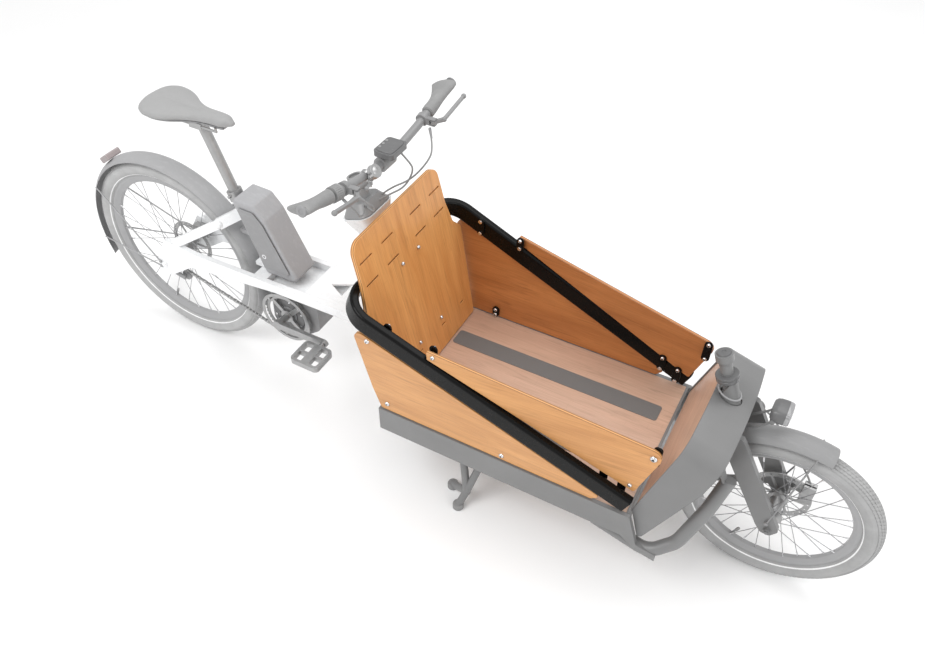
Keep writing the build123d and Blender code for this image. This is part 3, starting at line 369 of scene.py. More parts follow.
LOOKS = {
    "white_frame": powder_coat("white_gloss", (0.84, 0.85, 0.86), 0.28, coat=0.4),
    "grey_frame": powder_coat("grey_satin", (0.19, 0.19, 0.19), 0.38),
    "bar_black": powder_coat("bar_satin", (0.24, 0.24, 0.242), 0.36),
    "black_tube": powder_coat("black_satin", (0.003, 0.003, 0.003), 0.26, peel=0.00008, specular=0.16),
    "fork": powder_coat("fork_grey", (0.185, 0.185, 0.185), 0.34),
    "rod": powder_coat("rod_grey", (0.17, 0.17, 0.17), 0.45),
    "front_fender": moulded_plastic("front_fender_plastic", (0.26, 0.26, 0.262), 0.5),
    "gloss_dark": moulded_plastic("gloss_dark_plastic", (0.13, 0.13, 0.132), 0.24, depth=0.00006),
    "fender": moulded_plastic("fender_plastic", (0.34, 0.34, 0.345), 0.55),
    "plastic": moulded_plastic("dark_plastic", (0.27, 0.27, 0.275), 0.5),
    "battery": moulded_plastic("battery_case", (0.36, 0.36, 0.37), 0.46, grain=900),
    "rubber": rubber("soft_rubber", (0.27, 0.27, 0.27)),
    "tyre_rear": rubber("tyre_rubber_rear", (0.42, 0.42, 0.42)),
    "tyre_front": rubber("tyre_rubber_front", (0.36, 0.36, 0.36)),
    "rim": powder_coat("rim_anodised", (0.34, 0.34, 0.345), 0.36),
    "alloy": brushed_metal("satin_alloy", (0.5, 0.5, 0.5), 0.34),
    "dark_metal": brushed_metal("dark_metal", (0.42, 0.42, 0.42), 0.46),
    "steel": brushed_metal("stainless", (0.72, 0.72, 0.73), 0.2),
    "spoke": brushed_metal("spoke_steel", (0.36, 0.36, 0.37), 0.3),
    "grit": grit_strip("grit_sheet", (0.205, 0.203, 0.2)),
    "cover": grained_cover("saddle_cover", (0.37, 0.37, 0.37)),
    "red_lens": clear_lens("red_lens", (0.34, 0.29, 0.29)),
    "lamp_lens": clear_lens("lamp_lens", (0.3, 0.3, 0.305)),
    "stripe": rubber("pale_stripe", (0.86, 0.86, 0.86), rough=0.5),
}

NODE_LOOKS = {
    "white_frame": ["main_beams", "seat_frame", "rear_head_tube"],
    "grey_frame": ["platform_frame", "front_cowl", "front_head_tube", "front_braces", "stand"],
    "black_tube": ["hoop_tube", "panel_brackets"],
    "fork": ["fork", "steering_column"],
    "rod": ["tie_rod"],
    "fender": ["rear_fender"],
    "front_fender": ["front_fender"],
    "plastic": ["motor", "chain_tensioner", "twist_shifter"],
    "gloss_dark": ["display", "headlight"],
    "battery": ["battery"],
    "rubber": ["grip_left", "grip_right", "control_leads", "front_hose"],
    "tyre_rear": ["rear_tyre"],
    "tyre_front": ["front_tyre"],
    "rim": ["rear_rim", "front_rim"],
    "alloy": ["bell"],
    "bar_black": ["handlebar", "stem", "bell_lever", "brake_lever_left", "brake_lever_right", "lever_clamps"],
    "dark_metal": ["rear_hub", "front_hub", "crankset", "pedal_left", "pedal_right", "rear_caliper",
                   "front_caliper", "seatpost", "seat_collar",
                   "rear_sprocket", "chain"],
    "steel": ["panel_bolts"],
    "spoke": ["rear_spokes", "front_spokes"],
    "grit": ["floor_strips"],
    "cover": ["saddle"],
    "red_lens": ["rear_light"],
}

BOARDS = {
    "floor_board": (PALE_LIGHT, PALE_DARK, (1, 0, 0)),
    "front_board": (PALE_LIGHT, PALE_DARK, (0, 1, 0)),
    "back_panel": (WOOD_LIGHT, WOOD_DARK, (0, 0, 1)),
    # The side panels take the darker copies of the bamboo: painted shade.
    "lower_panel_left": (FAR_PAINTED_SHADE_LIGHT, FAR_PAINTED_SHADE_DARK, (1, 0, 0)),
    "lower_panel_right": (NEAR_PAINTED_SHADE_LIGHT, NEAR_PAINTED_SHADE_DARK, (1, 0, 0)),
    "upper_panel_left": (FAR_PAINTED_SHADE_LIGHT, FAR_PAINTED_SHADE_DARK, (1, 0, 0)),
    "upper_panel_right": (NEAR_PAINTED_SHADE_LIGHT, NEAR_PAINTED_SHADE_DARK, (1, 0, 0)),
}


def dress(node, material):
    """Gives a CAD node its material."""
    nodes[node].data.materials.clear()
    nodes[node].data.materials.append(material)


def dress_frame():
    for look, names in NODE_LOOKS.items():
        for name in names:
            dress(name, LOOKS[look])
    for name, (light, dark, grain) in BOARDS.items():
        dress(name, bamboo_board(name + "_wood", name, light, dark, grain))


# Shapes.

class Shape:
    """Collects the faces of one piece, each with the number of its material."""

    def __init__(self):
        self.verts = []
        self.faces = []
        self.looks = []

    def add(self, verts, faces, look=0):
        start = len(self.verts)
        self.verts += [tuple(v) for v in verts]
        self.faces += [[start + index for index in face] for face in faces]
        self.looks += [look] * len(faces)

    def rings(self, rings, look=0, closed=False, caps=True):
        """Joins rings of points, each the same length, into a skin."""
        count = len(rings[0])
        verts = [point for ring in rings for point in ring]
        faces = []
        last = len(rings) if closed else len(rings) - 1
        for i in range(last):
            here, there = i * count, (i + 1) % len(rings) * count
            for j in range(count):
                k = (j + 1) % count
                faces.append((here + j, here + k, there + k, there + j))
        if caps and not closed:
            faces.append(tuple(reversed(range(count))))
            faces.append(tuple(range((len(rings) - 1) * count, len(rings) * count)))
        self.add(verts, faces, look)

    def lathe(self, profile, centre, axis, steps=40, look=0, closed=False):
        """Turns a profile of (distance out, distance along) about an axis."""
        axis, side, up = basis(axis)
        rings = []
        for out, along in profile:
            ring = []
            for step in range(steps):
                turn = tau * step / steps
                spoke = (side * cos(turn) + up * sin(turn)) * max(out, 1e-5)
                ring.append(Vector(centre) + axis * along + spoke)
            rings.append(ring)
        self.rings(rings, look, closed)

    def tube(self, points, radius, sides=12, look=0):
        """A round tube along points."""
        points = [Vector(p) for p in points]
        rings = []
        for index, point in enumerate(points):
            before, after = points[max(index - 1, 0)], points[min(index + 1, len(points) - 1)]
            axis, side, up = basis(after - before)
            rings.append([point + (side * cos(tau * n / sides) + up * sin(tau * n / sides)) * radius
                          for n in range(sides)])
        self.rings(rings, look)

    def plate(self, outline, origin, side, up, thick, look=0, chamfer=0.0006):
        """A flat plate with softened rims, from an outline in its own plane."""
        side, up = Vector(side).normalized(), Vector(up).normalized()
        out = side.cross(up)
        middle = sum((Vector(p) for p in outline), Vector((0, 0))) / len(outline)
        rings = []
        for inset, along in ((chamfer, 0), (0, chamfer), (0, thick - chamfer), (chamfer, thick)):
            ring = []
            for point in outline:
                away = Vector(point) - middle
                place = middle + away * (1 - inset / max(away.length, 1e-6))
                ring.append(Vector(origin) + side * place.x + up * place.y + out * along)
            rings.append(ring)
        self.rings(rings, look)

    def make(self, name, looks, body, slot, replaces=(), flat=30):
        mesh = bpy.data.meshes.new(name)
        mesh.from_pydata(self.verts, [], self.faces)
        for look in looks:
            mesh.materials.append(LOOKS[look])
        mesh.polygons.foreach_set("material_index", self.looks)
        mesh.update()
        tidy = bmesh.new()
        tidy.from_mesh(mesh)
        bmesh.ops.recalc_face_normals(tidy, faces=tidy.faces)
        for edge in tidy.edges:
            edge.smooth = len(edge.link_faces) < 2 or edge.calc_face_angle(0) < radians(flat)
        for face in tidy.faces:
            face.smooth = True
        tidy.to_mesh(mesh)
        tidy.free()
        return place(bpy.data.objects.new(name, mesh), body, slot, replaces)


def place(piece, body, slot, replaces=()):
    bpy.context.scene.collection.objects.link(piece)
    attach(piece, body)
    if replaces:
        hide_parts(*replaces)
    return piece


def basis(axis):
    axis = Vector(axis).normalized()
    helper = Vector((0, 0, 1)) if abs(axis.z) < 0.9 else Vector((1, 0, 0))
    side = helper.cross(axis).normalized()
    return axis, side, axis.cross(side)


def islands(node):
    """The separate solids of a CAD node: the points of each."""
    mesh = nodes[node].data
    parent = list(range(len(mesh.vertices)))
    spots = {}
    for vertex in mesh.vertices:
        key = tuple(round(c, 6) for c in vertex.co)
        parent[vertex.index] = spots.setdefault(key, vertex.index)

    def root(i):
        while parent[i] != i:
            parent[i] = parent[parent[i]]
            i = parent[i]
        return i

    for edge in mesh.edges:
        a, b = root(edge.vertices[0]), root(edge.vertices[1])
        if a != b:
            parent[b] = a
    groups = {}
    for vertex in mesh.vertices:
        groups.setdefault(root(vertex.index), []).append(vertex.co)
    return [np.array([tuple(p) for p in group]) for group in groups.values()]


def main_axes(points):
    """The centre of a group of points, and its axes from the longest to the shortest."""
    middle = (points.max(0) + points.min(0)) / 2
    spread = points - points.mean(0)
    _, _, axes = np.linalg.svd(spread, full_matrices=False)
    return Vector(middle), [Vector(axis) for axis in axes]


# Wheels.

def tyre_profile(radius, rows):
    """Points across a tyre, as (distance from the axle, distance sideways, tread row, reflective)."""
    section = 0.0275
    centre = radius - section
    profile = []

    def point(degrees, swell=0.0, row=-1, stripe=False):
        turn = radians(degrees)
        profile.append((centre + (section + swell) * cos(turn), (section + swell) * sin(turn), row, stripe))

    for degrees in (-150, -143, -137):
        point(degrees)
    point(-133, 0.0002, stripe=True)
    for degrees in (-129, -120, -108, -96, -88):
        point(degrees)
    for degrees, swell in ((-84, 0.0006), (-80, 0.0006), (-77, 0), (-70, 0), (-64, -0.0006)):
        point(degrees, swell)
    width = 116 / rows
    for row in range(rows):
        start = -58 + row * width
        point(start + 0.4, -0.0018)
        point(start + 1.8, 0.0, row)
        point(start + width - 1.8, 0.0, row)
        point(start + width - 0.4, -0.0018)
    for degrees, swell in ((64, -0.0006), (70, 0), (77, 0), (80, 0.0006), (84, 0.0006)):
        point(degrees, swell)
    for degrees in (88, 96, 108, 120, 129):
        point(degrees)
    point(133, 0.0002, stripe=True)
    for degrees in (137, 143, 150):
        point(degrees)
    return profile


def make_tyre(name, axle, radius, look, body):
    """A tyre with blocks cut across its crown, sidewall rings and a reflective line."""
    rows, pitches = 7, round(tau * radius / 0.0125)
    profile = tyre_profile(radius, rows)
    steps = pitches * 4
    shape = Shape()
    verts = []
    for step in range(steps):
        turn = tau * step / steps
        for out, side, row, _ in profile:
            if row >= 0:
                slant = step + abs(row - rows // 2) * 2
                if slant % 4 == 0:
                    out -= 0.0016
            verts.append(axle + Vector((cos(turn) * out, side, sin(turn) * out)))
    count = len(profile)
    faces, looks = [], []
    for step in range(steps):
        here, there = step * count, (step + 1) % steps * count
        for j in range(count - 1):
            faces.append((here + j, here + j + 1, there + j + 1, there + j))
            looks.append(1 if profile[j][3] or profile[j + 1][3] and profile[j + 1][1] < 0 else 0)
        faces.append((here + count - 1, here, there, there + count - 1))
        looks.append(0)
    shape.add(verts, faces)
    shape.looks = looks
    shape.make(name, [look, "stripe"], body, "tyre", [name.replace("_skin", "")], flat=24)


def make_nipples(end, axle, body):
    """Spoke nipples at the rim, and a valve."""
    shape = Shape()
    for points in islands(end + "_spokes"):
        middle, axes = main_axes(points)
        along = axes[0]
        if along.dot(middle - axle) < 0:
            along = -along
        reach = max(Vector(p).dot(along) for p in points) - middle.dot(along)
        tip = middle + along * (reach - 0.002)
        shape.lathe([(0.0012, -0.013), (0.002, -0.0125), (0.002, -0.003), (0.0028, 0), (0.0028, 0.002)],
                    tip, along, steps=8)
    shape.make(end + "_nipples", ["steel"], body, "steel")
    valve = Shape()
    inner = nodes_radius(end + "_rim", axle)
    turn = radians(248)
    away = Vector((cos(turn), 0, sin(turn)))
    valve.lathe([(0.0045, 0.0), (0.0045, 0.003), (0.0031, 0.0035), (0.0031, 0.022), (0.0042, 0.0225),
                 (0.0042, 0.034), (0.003, 0.036), (0.0005, 0.0362)],
                axle + away * (inner + 0.001), -away, steps=16)
    valve.make(end + "_valve", ["dark_metal"], body, "steel")


def nodes_radius(node, axle):
    """The distance from an axle to the inside of a wheel's rim."""
    return min(Vector((v.co.x - axle.x, v.co.z - axle.z)).length for v in nodes[node].data.vertices)


def make_wheels():
    for end, axle, radius in (("rear", REAR_AXLE, REAR_TYRE_R), ("front", FRONT_AXLE, FRONT_TYRE_R)):
        make_tyre(end + "_tyre_skin", axle, radius, "tyre_" + end, end + "_wheel")
        make_nipples(end, axle, end + "_wheel")


# Saddle.

def smooth_line(stops, t):
    """A smooth value through (place, value) stops."""
    places = [p for p, _ in stops]
    values = [v for _, v in stops]
    slopes = np.gradient(np.array(values), np.array(places))
    index = min(max(int(np.searchsorted(places, t)) - 1, 0), len(stops) - 2)
    width = places[index + 1] - places[index]
    u = min(max((t - places[index]) / width, 0), 1)
    a, b = values[index], values[index + 1]
    sa, sb = slopes[index] * width, slopes[index + 1] * width
    return ((2 * u ** 3 - 3 * u ** 2 + 1) * a + (u ** 3 - 2 * u ** 2 + u) * sa
            + (-2 * u ** 3 + 3 * u ** 2) * b + (u ** 3 - u ** 2) * sb)


SADDLE_WIDTH = [(0, 0.030), (0.04, 0.056), (0.12, 0.076), (0.24, 0.081), (0.36, 0.071), (0.5, 0.046),
                (0.64, 0.030), (0.8, 0.024), (0.93, 0.020), (1, 0.008)]
SADDLE_TOP = [(0, 0.0245), (0.06, 0.0345), (0.16, 0.0395), (0.3, 0.037), (0.5, 0.031), (0.7, 0.031),
              (0.88, 0.0315), (0.96, 0.027), (1, 0.017)]
SADDLE_FOOT = [(0, 0.010), (0.1, 0.004), (0.3, 0.0), (0.5, 0.0), (0.75, 0.001), (0.92, 0.002), (1, 0.008)]


def make_saddle():
    """A saddle: two broad pads with a shallow channel between them, drawn in to a rounded nose."""
    low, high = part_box("saddle")
    length = high.x - low.x
    shape = Shape()
    rings = []
    around, along = 56, 72
    for i in range(along + 1):
        t = 0.5 - 0.5 * cos(pi * i / along)
        width, top, foot = (smooth_line(stops, t) for stops in (SADDLE_WIDTH, SADDLE_TOP, SADDLE_FOOT))
        belt = foot + (top - foot) * 0.34
        ring = []
        for n in range(around):
            turn = tau * n / around
            across = abs(cos(turn)) ** 0.8 * (1 if cos(turn) >= 0 else -1)
            y = width * across
            if sin(turn) >= 0:
                z = belt + (top - belt) * sin(turn) ** 0.9
                channel = 0.0042 * np.exp(-(y / 0.011) ** 2) * np.exp(-((t - 0.42) / 0.3) ** 4)
                piping = 0.0011 * np.exp(-((sin(turn) - 0.2) / 0.06) ** 2)
                z -= channel * sin(turn) + piping
            else:
                y *= 1 - 0.16 * abs(sin(turn))
                z = belt - (belt - foot) * abs(sin(turn)) ** 0.6
            ring.append(Vector((low.x + length * t, y, low.z + z)))
        rings.append(ring)
    shape.rings(rings)
    saddle = shape.make("saddle_cushion", ["cover"], "seat", "saddle", ["saddle"], flat=60)
    shell = Shape()
    outline = []
    for n in range(40):
        share = 0.08 + 0.84 * n / 39
        outline.append((low.x + length * share, -0.8 * smooth_line(SADDLE_WIDTH, share)))
    outline += [(x, -y) for x, y in reversed(outline)]
    shell.plate(outline, (0, 0, low.z - 0.0035), (1, 0, 0), (0, 1, 0), 0.005)
    shell.make("saddle_shell", ["plastic"], "seat", "saddle")


# Handlebar.

def on_bar(y, left):
    """A point on the outer straight of the bar, and the outward direction there."""
    side = 1 if left else -1
    inner, outer = at(832, side * 150, 950), at(829, side * 318, 984)
    along = (outer - inner).normalized()
    return outer - along * (0.318 - y), along


def make_grip(left):
    """A grip that widens to a paddle for the palm, with a ribbed rubber skin and an end plug."""
    side = "left" if left else "right"
    low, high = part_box("grip_" + side)
    reach = sorted((abs(low.y), abs(high.y)))
    start, along = on_bar(reach[0] / along_share(), left)
    end = on_bar(reach[1] / along_share(), left)[0]
    length = (end - start).length
    back = Vector((-1, 0, -0.25)).normalized()
    up = along.cross(back).normalized()
    back = up.cross(along).normalized()
    shape = Shape()
    rings = []
    steps, around = 90, 40
    for i in range(steps + 1):
        t = i / steps
        radius = 0.0158 + 0.0012 * cos(tau * t)
        wing = 0.034 * max(0.0, (min(t, 0.86) - 0.2) / 0.66) ** 1.4
        wing *= 1 - 0.55 * max(0.0, (t - 0.86) / 0.14) ** 2.4
        rib = 0.0005 if i % 3 else 0.0
        close = 1.0 if 0.015 < t < 0.97 else 0.86
        ring = []
        for n in range(around):
            turn = tau * n / around
            out = (radius + rib * (1 if 0.08 < t < 0.9 else 0)) * close
            behind = max(0.0, cos(turn)) ** 1.2 * wing - max(0.0, -cos(turn)) ** 1.5 * wing * 0.08
            flat = 1 - 0.35 * max(0.0, (t - 0.3) / 0.7)
            ring.append(start + along * (length * t) + back * (out * cos(turn) + behind)
                        + up * out * sin(turn) * flat)
        rings.append(ring)
    shape.rings(rings)
    shape.lathe([(0.0138, 0), (0.0138, 0.003), (0.012, 0.0045), (0.0062, 0.0045), (0.0058, 0.0035),
                 (0.0, 0.0035)], end - along * 0.0015, along, steps=32, look=1)
    grip = "grip_" + side
    shape.make("grip_skin_" + side, ["rubber", "plastic"], body_of(grip), "rubber", [grip])


def along_share():
    """The part of the bar's outer straight that runs sideways."""
    return abs(on_bar(0.2, True)[1].y)


def body_of(node):
    """The body that a CAD node belongs to."""
    for body, names in frame["record"]["behaviour"]["bodies"].items():
        if node in names:
            return body
    raise KeyError(node)


LEAD_ROUTES = [((858, -168, 938), (872, -120, 880), (796, -48, 812), -12),
               ((858, 168, 938), (880, 116, 876), (798, 46, 810), 12),
               ((836, -188, 930), (846, -150, 862), (786, -50, 822), -22),
               ((846, 22, 961), (888, 36, 900), (818, 26, 812), 4)]
LEAD_R, HOSE_R = 0.0023, 0.0025


def smooth_cord(name, points, radius, look, body, slot, replaces):
    """A cord on one smooth line through its route's control points."""
    data = bpy.data.curves.new(name, "CURVE")
    data.dimensions = "3D"
    data.bevel_depth = radius
    data.bevel_resolution = 4
    data.resolution_u = 12
    data.use_fill_caps = True
    spline = data.splines.new("NURBS")
    spline.points.add(len(points) - 1)
    for spot, point in zip(spline.points, points):
        spot.co = (*point, 1)
    spline.order_u = 3
    spline.use_endpoint_u = True
    data.materials.append(LOOKS[look])
    return place(bpy.data.objects.new(name, data), body, slot, replaces)


def make_leads():
    guide = at(1041.48 - 782 / tan(radians(70)), 0, 782)
    body = body_of("control_leads")
    for index, (start, mid, low, y_end) in enumerate(LEAD_ROUTES):
        start, mid, low = at(*start), at(*mid), at(*low)
        end = guide + Vector((0.016, y_end / 1000, 0))
        points = [start, start * 0.5 + mid * 0.5 + Vector((0.014, 0, -0.004)), mid,
                  mid * 0.5 + low * 0.5 + Vector((0.010, 0, -0.010)), low, end]
        lead = smooth_cord(f"lead_{index}", points, LEAD_R, "rubber", body, "rubber", ["control_leads"])
        boot = Shape()
        aim = (points[1] - start).normalized()
        boot.lathe([(0.0034, -0.004), (0.0040, 0.0), (0.0036, 0.010), (0.0029, 0.022), (0.0024, 0.024)],
                   start, aim, steps=16)
        boot_piece = boot.make(f"lead_boot_{index}", ["plastic"], body, "dark_plastic")
    hose = [at(1822, 66, 516), at(1858, 84, 492), at(1900, 90, 440), at(1944, 90, 380), at(1998, 76, 342),
            at(2016, 52, 328)]
    run = smooth_cord("front_hose_run", hose, HOSE_R, "rubber", body_of("front_hose"), "rubber",
                      ["front_hose"])


# Bolts and brackets.

def make_bolts():
    """Domed bolts with a socket, at each place where the CAD has one."""
    shape = Shape()
    centre = Vector((0.36, 0, 0.42))
    for points in islands("panel_bolts"):
        middle, axes = main_axes(points)
        spans = [max(Vector(p).dot(a) for p in points) - min(Vector(p).dot(a) for p in points) for a in axes]
        axis = axes[2] if spans[2] < 0.8 * spans[1] else axes[0]
        index = 2 if spans[2] < 0.8 * spans[1] else 0
        radius = spans[1] / 2
        half = spans[index] / 2
        ways = [axis, -axis] if half > 0.006 else [axis if axis.dot(middle - centre) > 0 else -axis]
        if half <= 0.006 and node_hit(middle, ways[0]):
            ways = [-ways[0]]
        for way in ways:
            face = middle + way * (half - 0.0022)
            shape.lathe([(radius, -0.001), (radius * 1.02, 0.0), (radius * 0.9, 0.0020),
                         (radius * 0.66, 0.0036), (radius * 0.46, 0.0042), (radius * 0.42, 0.0042),
                         (radius * 0.40, 0.0022), (0, 0.0022)], face, way, steps=20)
        shape.lathe([(radius * 0.6, -half), (radius * 0.6, half)], middle, axis, steps=12)
    shape.make("domed_bolts", ["steel"], body_of("panel_bolts"), "steel", ["panel_bolts"])


def node_hit(start, way):
    """True where a board or tube lies close in front of a point, so that a bolt head can't face that way."""
    for node in ("lower_panel_left", "lower_panel_right", "upper_panel_left", "upper_panel_right",
                 "back_panel", "front_board", "floor_board", "platform_frame", "front_cowl"):
        hit, spot, _, _ = nodes[node].ray_cast(start + way * 0.0045, way, distance=0.012)
        if hit:
            return True
    return False


# Small parts on the box kit, the front end and the drive.

STEER_ANGLE = radians(70)
COLUMN_UP = Vector((-cos(STEER_ANGLE), 0, sin(STEER_ANGLE)))


def spans_of(points, axes):
    """The size of a group of points along each axis."""
    return [max(Vector(p).dot(a) for p in points) - min(Vector(p).dot(a) for p in points) for a in axes]


def stadium(length, width, steps=10):
    """The outline of a strip with round ends."""
    outline = []
    radius = width / 2
    for end in (1, -1):
        for n in range(steps + 1):
            turn = (0 if end == 1 else pi) - pi / 2 + pi * n / steps
            outline.append(Vector((end * (length - width) / 2 + radius * cos(turn), radius * sin(turn))))
    return outline


def make_brackets():
    """Steel tabs with round ends."""
    shape = Shape()
    for points in islands("panel_brackets"):
        middle, axes = main_axes(points)
        (long, along), (wide, across), (thin, _) = sorted(
            zip(spans_of(points, axes), axes), key=lambda pair: -pair[0])
        facing = along.cross(across)
        shape.plate(stadium(long, wide), middle - facing * thin / 2, along, across, thin, chamfer=0.0008)
    shape.make("round_brackets", ["black_tube"], body_of("panel_brackets"), "black_tube", ["panel_brackets"])


def make_headlight():
    """A lamp with a ribbed lens, on two bent wires."""
    shape = Shape()
    middle = at(1884, 0, 589)
    for look, stops in ((0, [(-0.023, 0.45), (-0.022, 0.72), (-0.017, 0.90), (-0.009, 0.98), (0.002, 1.0),
                             (0.010, 1.0), (0.0112, 0.95)]),
                        (1, [(0.0108, 0.97), (0.013, 0.99), (0.0185, 0.97), (0.0215, 0.88), (0.023, 0.66)])):
        rings = []
        for along, share in stops:
            ring = []
            for n in range(48):
                turn = tau * n / 48
                y = abs(cos(turn)) ** 0.62 * (1 if cos(turn) > 0 else -1)
                z = abs(sin(turn)) ** 0.62 * (1 if sin(turn) > 0 else -1)
                ring.append(middle + Vector((along, 0.031 * share * y, 0.021 * share * z)))
            rings.append(ring)
        shape.rings(rings, look)
    for side in (-1, 1):
        stops = [at(1812, side * 20, 518), at(1846, side * 26, 532), at(1874, side * 24, 575)]
        wire = []
        for n in range(17):
            t = n / 16
            wire.append(stops[0] * (1 - t) ** 2 + stops[1] * 2 * t * (1 - t) + stops[2] * t * t)
        shape.tube(wire, 0.003, 10, look=2)
    shape.lathe([(0.006, -0.030), (0.0065, -0.028), (0.0065, 0.028), (0.006, 0.030)],
                at(1872, 0, 573), (0, 1, 0), steps=20, look=2)
    shape.make("headlight_unit", ["gloss_dark", "lamp_lens", "rod"], body_of("headlight"), "dark_plastic",
               ["headlight"])


def make_front_column():
    """The bearing rings and cap at the top of the front head tube, and its weld to the cowl."""
    def axis_at(z):
        return at(1752 + (620 - z) / tan(STEER_ANGLE), 0, z)

    rings = Shape()
    rings.lathe([(0.0225, -0.020), (0.0258, -0.019), (0.0268, -0.017), (0.0268, -0.010), (0.0255, -0.009),
                 (0.0255, -0.007), (0.0272, -0.006), (0.0272, -0.001), (0.0262, 0.0), (0.0225, 0.0005)],
                axis_at(646), COLUMN_UP, steps=56)
    rings.make("bearing_rings", ["gloss_dark"], body_of("front_head_tube"), "dark_plastic")
    cap = Shape()
    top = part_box("fork")[1].z
    stem_top = axis_at(top * 1000 - 4)
    cap.lathe([(0.0158, -0.012), (0.0172, -0.011), (0.0172, -0.0035), (0.0160, -0.0022), (0.0160, -0.0012),
               (0.0146, 0.0006), (0.0060, 0.0010), (0.0052, -0.0008), (0.0, -0.0008)],
              stem_top, COLUMN_UP, steps=48)
    cap.make("column_cap", ["gloss_dark"], body_of("fork"), "dark_plastic")
    weld = Shape()
    lie = Vector((0.28, 0, 0.96)).normalized()
    middle = axis_at(592)
    _, side, up = basis(COLUMN_UP)
    path = []
    for n in range(97):
        turn = tau * n / 96
        spot = (side * cos(turn) + up * sin(turn)) * 0.0232
        path.append(middle + spot - COLUMN_UP * (spot.dot(lie) / COLUMN_UP.dot(lie)))
    weld.tube(path, 0.0026, 8)
    weld.make("column_weld", ["rim"], body_of("front_cowl"), "grey_frame")


def make_bar_parts():
    """The bell's dome, the display's glass and buttons, and the shifter's ribs."""
    bell = Shape()
    foot = at(830, -86, 938) + Vector((0.020, 0, 0.014))
    bell.lathe([(0.0172, 0.0), (0.0176, 0.0012), (0.0172, 0.0045), (0.0158, 0.0085), (0.0125, 0.0118),
                (0.0075, 0.0138), (0.003, 0.0146), (0.003, 0.0158), (0.0, 0.0162)],
               foot, (10, 0, 8), steps=48)
    bell.make("bell_dome", ["alloy"], body_of("bell"), "alloy")
    low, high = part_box("display")
    glass = Shape()
    corner = []
    for n in range(32):
        turn = tau * n / 32
        corner.append(Vector((abs(cos(turn)) ** 0.35 * (1 if cos(turn) > 0 else -1) * 0.023,
                              abs(sin(turn)) ** 0.35 * (1 if sin(turn) > 0 else -1) * 0.032)))
    glass.plate(corner, ((low.x + high.x) / 2, 0, high.z - 0.0005), (1, 0, 0), (0, 1, 0), 0.0024,
                chamfer=0.0008)
    for y in (-0.016, 0, 0.016):
        glass.lathe([(0.004, 0), (0.004, 0.0012), (0.0034, 0.0018), (0, 0.0018)],
                    (low.x + 0.0085, y, high.z + 0.0016), (0, 0, 1), steps=20, look=1)
    glass.make("display_glass", ["gloss_dark", "rubber"], body_of("display"), "dark_plastic")
    low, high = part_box("twist_shifter")
    centre, along = on_bar((abs(low.y) + abs(high.y)) / 2, False)
    ribs = Shape()
    rings = []
    half = abs(high.y - low.y) / 2 - 0.0065
    _, side, up = basis(along)
    for place_along, radius, depth in ((-1, 0.0186, 0), (-0.92, 0.0198, 0), (-0.5, 0.0198, 0),
                                       (-0.44, 0.0196, 0.0011), (0.9, 0.0196, 0.0011), (0.94, 0.0196, 0),
                                       (1, 0.0186, 0)):
        ring = []
        for n in range(96):
            turn = tau * n / 96
            out = radius - depth * (1 if n % 4 < 2 else 0)
            ring.append(centre + along * (half * place_along) + (side * cos(turn) + up * sin(turn)) * out)
        rings.append(ring)
    ribs.rings(rings)
    ribs.make("shifter_ribs", ["rubber"], body_of("twist_shifter"), "rubber", ["twist_shifter"])


def arc(centre, radius, start, end, steps):
    """Points along an arc, in the plane of the wheels."""
    return [(centre[0] + radius * cos(start + (end - start) * n / steps),
             centre[1] + radius * sin(start + (end - start) * n / steps)) for n in range(steps + 1)]


# The chain's line in millimetres: both sprockets, and the two points where it passes the tensioner.
CHAIN_PITCH, CHAIN_Y = 12.7, -50
SPROCKET_C, RING_C = (0, 334), (458, 283)
SPROCKET_R, RING_R = CHAIN_PITCH / 2 / sin(pi / 18), CHAIN_PITCH / 2 / sin(pi / 42)
JOCKEY = ((56, 304), (48, 304.5))


def make_chain():
    """Roller chain: inner and outer plates in turn on their pins, along the chain's closed line."""
    gap = Vector((RING_C[0] - SPROCKET_C[0], RING_C[1] - SPROCKET_C[1]))
    top = atan2(gap.y, gap.x) + acos((SPROCKET_R - RING_R) / gap.length)
    line = arc(RING_C, RING_R, top, radians(-105), 60)
    line += [JOCKEY[0], JOCKEY[1]]
    line += arc(SPROCKET_C, SPROCKET_R, radians(-68), top - tau, 40)
    line.append(line[0])
    steps = [0]
    for a, b in zip(line, line[1:]):
        steps.append(steps[-1] + (Vector(b) - Vector(a)).length)
    count = 2 * round(steps[-1] / CHAIN_PITCH / 2)
    pins = []
    for n in range(count):
        want = steps[-1] * n / count
        index = max(i for i in range(len(steps) - 1) if steps[i] <= want)
        share = (want - steps[index]) / max(steps[index + 1] - steps[index], 1e-9)
        x, z = Vector(line[index]).lerp(Vector(line[index + 1]), share)
        pins.append(at(x, CHAIN_Y, z))
    shape = Shape()
    for n, pin in enumerate(pins):
        after = pins[(n + 1) % count]
        along = (after - pin).normalized()
        up = Vector((0, 1, 0)).cross(along).normalized()
        outline = stadium((after - pin).length + 0.0074, 0.0074, 6)
        inner = 0.0022 if n % 2 else 0.0032
        for side in (inner + 0.0009, -inner):
            shape.plate(outline, (pin + after) / 2 + Vector((0, side, 0)),
                        up.cross(Vector((0, 1, 0))) * -1, up, 0.0009, chamfer=0.0002)
        on_teeth = any((pin - at(x, CHAIN_Y, z)).length * 1000 < reach + 10
                       for (x, z), reach in ((RING_C, RING_R), (SPROCKET_C, SPROCKET_R)))
        for way in (-1, 1):
            shape.lathe([(0.0018, 0.0020), (0.0018, 0.0046)], pin, (0, way, 0), steps=8)
        if not on_teeth:
            shape.lathe([(0.0038, -0.0021), (0.0038, 0.0021)], pin, (0, 1, 0), steps=10)
    shape.make("chain_links", ["dark_metal"], body_of("chain"), "steel", ["chain"])


